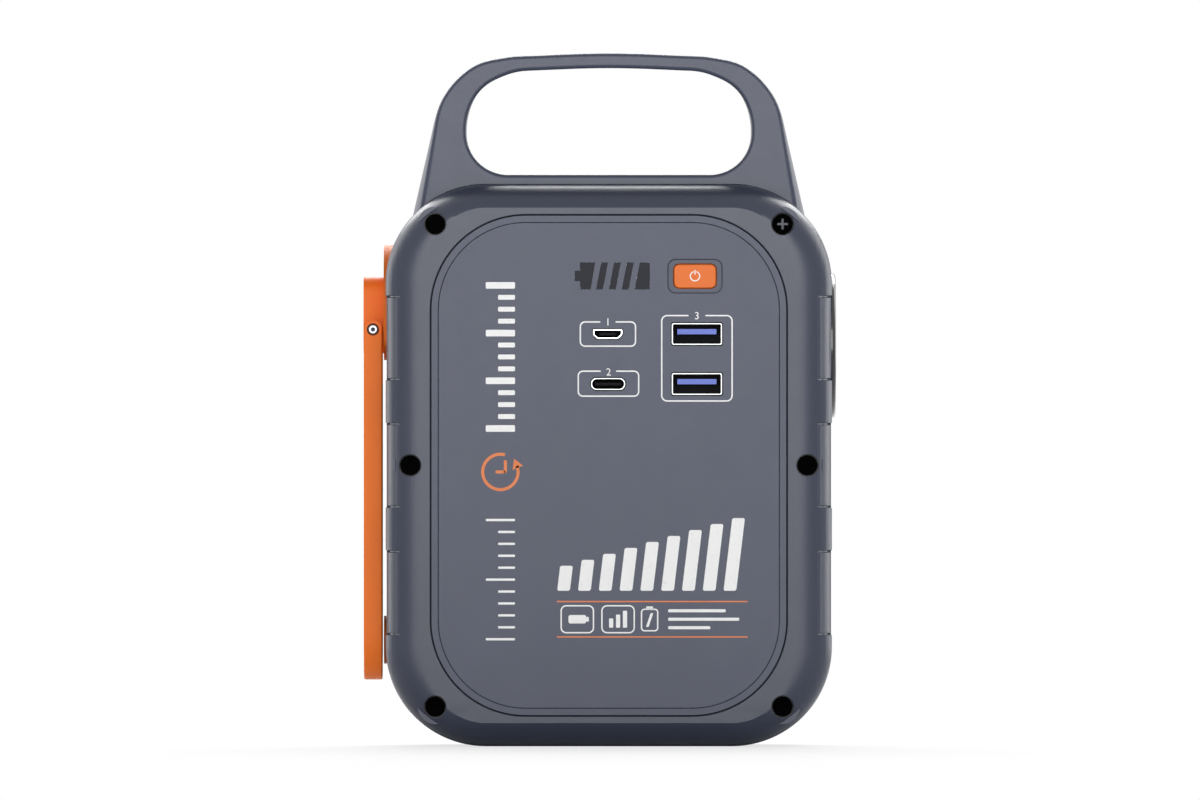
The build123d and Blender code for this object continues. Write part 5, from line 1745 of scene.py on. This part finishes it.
@dataclass
class Prints:
    """Screen-printed lines and plain marks on the front panel."""

    face_y: float = -28.0
    lift: float = 0.02
    line: float = 0.36
    arrow_reach: float = 4.6
    arrow_angle: float = 24.0
    arrow_size: float = 1.7
    arrow_tilt: float = 22.0

    def _publish(self, bm: bmesh.types.BMesh, name: str, ink: Mark) -> bpy.types.Object:
        """Dresses a print and seats it on the panel.

        Args:
            bm: The print in millimetres.
            name: Its name.
            ink: Which ink.

        Returns:
            The print.
        """
        bmesh.ops.recalc_face_normals(bm, faces=bm.faces)
        finish = PRINT_WHITE if ink is Mark.WHITE else PRINT_ORANGE
        return publish(bm, name, finish, "case")

    def _raise(self, bm: bmesh.types.BMesh, faces: Sequence[bmesh.types.BMFace]) -> None:
        """Gives flat faces that look to the front the thickness of ink.

        Args:
            bm: The mesh.
            faces: Its new faces, on the panel's surface.
        """
        made = bmesh.ops.extrude_face_region(bm, geom=list(faces))["geom"]
        shift(bm, made, (0.0, -self.lift, 0.0))

    def bar(self, bm: bmesh.types.BMesh, x: float, z: float, width: float, height: float, radius: float = 0.1,
            lean: float = 0.0, turn: float = 0.0) -> None:
        """Adds a bar with round corners.

        Args:
            bm: The mesh.
            x: Its middle.
            z: Its middle.
            width: Its width.
            height: Its height.
            radius: Its corner radius.
            lean: How far its top leans to the right.
            turn: Its turn in degrees, clockwise seen from the front.
        """
        outline = Outline(width, height, radius, x, z)
        face = outline.face(bm, self.face_y - 0.001, 4)
        centre = Vector((x, self.face_y, z))
        for vert in face.verts:
            vert.co.x += lean * (vert.co.z - z) / height
        bmesh.ops.rotate(bm, cent=centre, matrix=Matrix.Rotation(math.radians(turn), 3, "Y"),
                         verts=face.verts)
        self._raise(bm, [face])

    def frame(self, bm: bmesh.types.BMesh, outline: Outline, gap: float) -> None:
        """Adds a thin line round an outline, broken at the middle of its top.

        Args:
            bm: The mesh.
            outline: The line's middle.
            gap: Width of the break.
        """
        outer = outline.inset(-self.line / 2)
        face = outer.face(bm, self.face_y - 0.001, 6)
        result = bmesh.ops.inset_individual(bm, faces=[face], thickness=self.line, use_even_offset=True)
        bmesh.ops.delete(bm, geom=[face], context="FACES_ONLY")
        band = result["faces"]
        top = outline.middle_z + outline.height / 2
        geometry = list({part for ring in band for part in (*ring.verts, *ring.edges)}) + band
        for side in (-1, 1):
            x = outline.middle_x + side * gap / 2
            geometry = [part for part in geometry if part.is_valid]
            cut = bmesh.ops.bisect_plane(bm, geom=geometry, dist=0.0001, plane_co=(x, 0.0, 0.0),
                                         plane_no=(1.0, 0.0, 0.0))
            geometry = list(set(cut["geom"]))
        faces = [part for part in geometry if part.is_valid and isinstance(part, bmesh.types.BMFace)]
        doomed = [part for part in faces if part.calc_center_median().z > top - 0.5
                  and abs(part.calc_center_median().x - outline.middle_x) < gap / 2]
        kept = [part for part in faces if part not in doomed]
        bmesh.ops.delete(bm, geom=doomed, context="FACES")
        self._raise(bm, kept)

    def numeral(self, digits: str, name: str, x: float, z: float, height: float, turn: float = 0.0,
                ink: Mark = Mark.WHITE) -> bpy.types.Object:
        """Prints a plain number.

        Args:
            digits: The number.
            name: The piece's name.
            x: Its middle.
            z: Its middle.
            height: Height of a digit.
            turn: Its turn in degrees, clockwise seen from the front.
            ink: Which ink.

        Returns:
            The print.
        """
        curve = bpy.data.curves.new(name, "FONT")
        curve.body = digits
        curve.align_x, curve.align_y = "CENTER", "CENTER"
        curve.size = height / 0.7
        curve.extrude = self.lift / 2
        curve.resolution_u = 4
        text = bpy.data.objects.new(name, curve)
        bpy.context.scene.collection.objects.link(text)
        mesh = bpy.data.meshes.new_from_object(text.evaluated_get(bpy.context.evaluated_depsgraph_get()))
        bpy.data.objects.remove(text)
        bm = blank()
        bm.from_mesh(mesh)
        bpy.data.meshes.remove(mesh)
        bmesh.ops.remove_doubles(bm, verts=bm.verts, dist=0.0001)
        middle = sum((vert.co for vert in bm.verts), Vector()) / len(bm.verts)
        place = (Matrix.Translation((x, self.face_y - self.lift / 2 - 0.001, z))
                 @ Matrix.Rotation(math.radians(turn), 4, "Y") @ Matrix.Rotation(math.pi / 2, 4, "X")
                 @ Matrix.Translation((-middle.x, -middle.y, 0.0)))
        bmesh.ops.transform(bm, matrix=place, verts=bm.verts)
        return self._publish(bm, name, ink)

    def socket_frames(self) -> None:
        """Prints the line round each group of sockets, with a plain number in its gap."""
        bm = blank()
        self.frame(bm, Outline(14.35, 6.3, 1.2, -0.24, 107.35), 4.0)
        self.frame(bm, Outline(15.7, 6.5, 1.2, -0.1, 94.45), 4.0)
        self.frame(bm, Outline(18.3, 22.2, 1.4, 22.9, 101.05), 4.4)
        self._publish(bm, "socket_frames", Mark.WHITE)
        self.numeral("1", "number_1", -0.24, 110.5, 1.9)
        self.numeral("2", "number_2", -0.1, 97.7, 1.9)
        self.numeral("3", "number_3", 22.9, 112.15, 1.9)

    def power_mark(self) -> None:
        """Prints the ring and bar on the power button, which it rides."""
        middle = Vector((22.4, 0.0, 122.4))
        bm = blank()
        for radius in (1.08, 1.36):
            bmesh.ops.create_circle(bm, cap_ends=False, segments=40, radius=radius,
                                    matrix=Matrix.Translation((middle.x, -28.395, middle.z))
                                    @ Matrix.Rotation(math.pi / 2, 4, "X"))
        ring = bmesh.ops.bridge_loops(bm, edges=bm.edges[:])["faces"]
        gap = [part for part in ring if part.calc_center_median().z > middle.z + 0.9
               and abs(part.calc_center_median().x - middle.x) < 0.45]
        ring_kept = [part for part in ring if part not in gap]
        bmesh.ops.delete(bm, geom=gap, context="FACES")
        face = Outline(0.26, 1.25, 0.12, middle.x, middle.z + 1.0).face(bm, -28.395, 4)
        made = bmesh.ops.extrude_face_region(bm, geom=ring_kept + [face])["geom"]
        shift(bm, made, (0.0, 0.03, 0.0))
        bmesh.ops.recalc_face_normals(bm, faces=bm.faces)
        publish(bm, "power_mark", PRINT_WHITE, "button")

    def scale_column(self) -> None:
        """Prints the upright scale of plain ticks on the left, and the turning arrow in its middle."""
        bm = blank()
        for index in range(13):
            long = index % 4 == 0
            width = 7.6 if long else 4.4
            self.bar(bm, -24.4 - width / 2, 120.0 - index * 3.1, width, 1.7 if long else 1.25, 0.3)
        for index in range(11):
            long = index % 5 == 0
            width = 7.6 if long else 4.4
            self.bar(bm, -24.4 - width / 2, 59.0 - index * 3.1, width, 0.6, 0.2)
        self._publish(bm, "scale_ticks", Mark.WHITE)
        arrow = blank()
        middle = Vector((-28.2, self.face_y - 0.001, 71.5))
        for radius in (4.2, 5.0):
            bmesh.ops.create_circle(arrow, cap_ends=False, segments=72, radius=radius,
                                    matrix=Matrix.Translation(middle) @ Matrix.Rotation(math.pi / 2, 4, "X"))
        ring = bmesh.ops.bridge_loops(arrow, edges=arrow.edges[:])["faces"]
        gap = []
        for part in ring:
            away = part.calc_center_median() - middle
            if 20.0 < math.degrees(math.atan2(away.z, away.x)) < 75.0:
                gap.append(part)
        bmesh.ops.delete(arrow, geom=gap, context="FACES")
        self._raise(arrow, arrow.faces[:])
        reach, turn = self.arrow_reach, math.radians(self.arrow_angle)
        spot = middle + Vector((reach * math.cos(turn), 0.0, reach * math.sin(turn)))
        tip = bmesh.ops.create_circle(arrow, cap_ends=True, segments=3, radius=self.arrow_size,
                                      matrix=Matrix.Translation(spot)
                                      @ Matrix.Rotation(math.radians(-self.arrow_tilt), 4, "Y")
                                      @ Matrix.Rotation(math.pi / 2, 4, "X"))
        self._raise(arrow, tip["verts"][0].link_faces[:])
        self.bar(arrow, middle.x, middle.z, 2.6, 0.8, 0.38)
        self.bar(arrow, middle.x + 1.3, middle.z + 1.4, 0.8, 3.4, 0.38)
        self._publish(arrow, "turning_arrow", Mark.ORANGE)

    def charge_motif(self) -> None:
        """Prints the bold bars on the lower right, with a rule line above and below the small badges."""
        bm = blank()
        for index in range(9):
            height = 6.5 + index * 1.55
            self.bar(bm, -11.4 + index * 5.5, 40.6 + height / 2, 3.3, height, 0.5, lean=height * 0.12)
        self._publish(bm, "charge_bars", Mark.WHITE)
        lines = blank()
        self.bar(lines, 11.3, 37.8, 49.6, 0.36, 0.1)
        self.bar(lines, 11.3, 28.6, 49.6, 0.36, 0.1)
        self._publish(lines, "rule_lines", Mark.ORANGE)
        small = blank()
        for x in (-8.2, 2.4):
            self.frame(small, Outline(8.4, 7.0, 1.3, x, 33.2), 0.02)
        self.bar(small, -8.2, 33.2, 4.6, 2.2, 0.5)
        self.bar(small, -5.55, 33.2, 0.7, 1.2, 0.2)
        for step in range(3):
            self.bar(small, 0.6 + step * 1.8, 32.2 + step * 0.5, 1.1, 2.4 + step, 0.2)
        self.frame(small, Outline(4.2, 5.6, 0.8, 10.6, 33.0), 0.02)
        self.bar(small, 10.6, 36.2, 1.8, 0.7, 0.2)
        self.bar(small, 10.6, 33.0, 0.7, 3.6, 0.2, lean=1.2)
        for row, width in enumerate((15.0, 18.5, 11.0)):
            self.bar(small, 15.4 + width / 2, 35.4 - row * 2.2, width, 0.8, 0.3)
        self._publish(small, "badges", Mark.WHITE)

    def build(self) -> None:
        """Prints every mark."""
        self.socket_frames()
        self.power_mark()
        self.scale_column()
        self.charge_motif()


# ---------------------------------------------------------------- frame parts that keep their shape
@dataclass
class FrameParts:
    """The frame's own nodes, which keep their shape and get a finish each."""

    replaced: frozenset[str] = frozenset({"front_shell", "rear_shell"})

    def dress(self) -> None:
        """Gives every node that still shows the finish of its material slot."""
        slots = {row["node"]: row["material_slot"] for row in frame["record"]["subparts"]}
        for name, piece in frame["nodes"].items():
            finish = FINISHES[slots[name]]
            for holder in piece.material_slots:
                holder.material = finish.material()
            if not piece.material_slots:
                piece.data.materials.append(finish.material())
            if name not in self.replaced:
                log.info("%s dressed as %s", name, finish.name)


# ---------------------------------------------------------------- studio
@dataclass
class Lamp:
    """One soft light."""

    name: str
    place: tuple[float, float, float]
    aim: tuple[float, float, float]
    size: tuple[float, float]
    power: float

    def hang(self) -> None:
        """Adds the light to the scene."""
        data = bpy.data.lights.new(self.name, "AREA")
        data.shape = "RECTANGLE"
        data.size, data.size_y = self.size
        data.energy = self.power
        lamp = bpy.data.objects.new(self.name, data)
        bpy.context.scene.collection.objects.link(lamp)
        lamp.location = self.place
        lamp.rotation_euler = (Vector(self.aim) - Vector(self.place)).to_track_quat("-Z", "Y").to_euler()


@dataclass
class Studio:
    """Camera, floor, backdrop light and soft lamps."""

    aim_x: float = -2.3
    aim_z: float = 90.2
    distance: float = 6000.0
    view_width: float = 312.0
    front_y: float = -28.0
    world_level: float = 0.08
    floor_half: float = 900.0
    floor_drop: float = 0.05
    lamps: tuple[Lamp, ...] = (
        Lamp("front_box", (0.0, -1.75, 0.16), (0.0, 0.0, 0.09), (1.9, 1.5), 35.0),
        Lamp("left_edge", (-0.9, 0.55, 0.3), (0.0, 0.0, 0.09), (0.6, 1.0), 4.0),
        Lamp("right_edge", (0.9, 0.5, 0.3), (0.0, 0.0, 0.09), (0.6, 1.0), 5.0),
        Lamp("top_edge", (0.0, 0.85, 0.9), (0.0, 0.0, 0.14), (1.5, 0.9), 22.0),
    )

    def camera(self) -> None:
        """Sets up the camera in front of the charger."""
        data = bpy.data.cameras.new("camera")
        data.sensor_width = 36.0
        data.lens = 36.0 * self.distance / self.view_width
        data.clip_start, data.clip_end = 0.1, 20.0
        camera = bpy.data.objects.new("camera", data)
        bpy.context.scene.collection.objects.link(camera)
        camera.location = (self.aim_x * MM, (self.front_y - self.distance) * MM, self.aim_z * MM)
        camera.rotation_euler = (math.pi / 2, 0.0, 0.0)
        bpy.context.scene.camera = camera

    def world(self) -> None:
        """Sets a low plain light that the camera, gloss and clear parts see as white."""
        world = bpy.data.worlds.new("studio")
        bpy.context.scene.world = world
        world.use_nodes = True
        sheet = Sheet(world.node_tree)
        sheet.tree.nodes.clear()
        path = sheet.node("LightPath")
        soft = sheet.node("Background")
        soft.inputs["Color"].default_value = (1.0, 1.0, 1.0, 1.0)
        soft.inputs["Strength"].default_value = self.world_level
        white = sheet.node("Background")
        white.inputs["Color"].default_value = (1.0, 1.0, 1.0, 1.0)
        white.inputs["Strength"].default_value = 1.0
        seen = sheet.math("MAXIMUM", path.outputs["Is Camera Ray"], path.outputs["Is Transmission Ray"])
        seen = sheet.math("MAXIMUM", seen, path.outputs["Is Glossy Ray"])
        mix = sheet.node("MixShader")
        sheet.join(seen, mix.inputs[0])
        sheet.join(soft.outputs[0], mix.inputs[1])
        sheet.join(white.outputs[0], mix.inputs[2])
        out = sheet.node("OutputWorld")
        sheet.join(mix.outputs[0], out.inputs["Surface"])

    def floor(self) -> None:
        """Lays the pale floor, which fades to white away from the charger."""
        bm = blank()
        bmesh.ops.create_grid(bm, x_segments=2, y_segments=2, size=self.floor_half,
                              matrix=Matrix.Translation((0.0, 0.0, -self.floor_drop)))
        bmesh.ops.scale(bm, vec=(MM, MM, MM), verts=bm.verts)
        mesh = bpy.data.meshes.new("floor")
        bm.to_mesh(mesh)
        bm.free()
        floor = bpy.data.objects.new("floor", mesh)
        bpy.context.scene.collection.objects.link(floor)
        made = bpy.data.materials.new("floor_white")
        made.use_nodes = True
        sheet = Sheet(made.node_tree)
        shader = made.node_tree.nodes["Principled BSDF"]
        shader.inputs["Base Color"].default_value = (0.8, 0.8, 0.8, 1.0)
        shader.inputs["Roughness"].default_value = 0.7
        white = sheet.node("Emission")
        white.inputs["Strength"].default_value = 1.0
        place = sheet.node("TexCoord")
        far = sheet.node("VectorMath", operation="LENGTH")
        sheet.join(place.outputs["Object"], far.inputs[0])
        fade = sheet.span(far.outputs["Value"], 0.72, 1.0, 0.06, 0.5)
        path = sheet.node("LightPath")
        seen = sheet.math("MAXIMUM", path.outputs["Is Camera Ray"], path.outputs["Is Transmission Ray"])
        mix = sheet.node("MixShader")
        sheet.join(sheet.math("MULTIPLY", fade, seen), mix.inputs[0])
        sheet.join(shader.outputs[0], mix.inputs[1])
        sheet.join(white.outputs[0], mix.inputs[2])
        sheet.join(mix.outputs[0], made.node_tree.nodes["Material Output"].inputs["Surface"])
        mesh.materials.append(made)

    def build(self) -> None:
        """Builds the studio."""
        bpy.context.scene.view_settings.view_transform = "Standard"
        self.camera()
        self.world()
        self.floor()
        for lamp in self.lamps:
            lamp.hang()


def main() -> None:
    """Builds the studio and the charger's sub-assemblies in order."""
    logging.basicConfig(level=logging.INFO, format="%(message)s")
    Studio().build()
    FrameParts().dress()
    Case().build()
    CarryHandle().build()
    PowerButton().build()
    HingePin().build()
    Sockets().build()
    Prints().build()


if __name__ == "__main__":
    main()
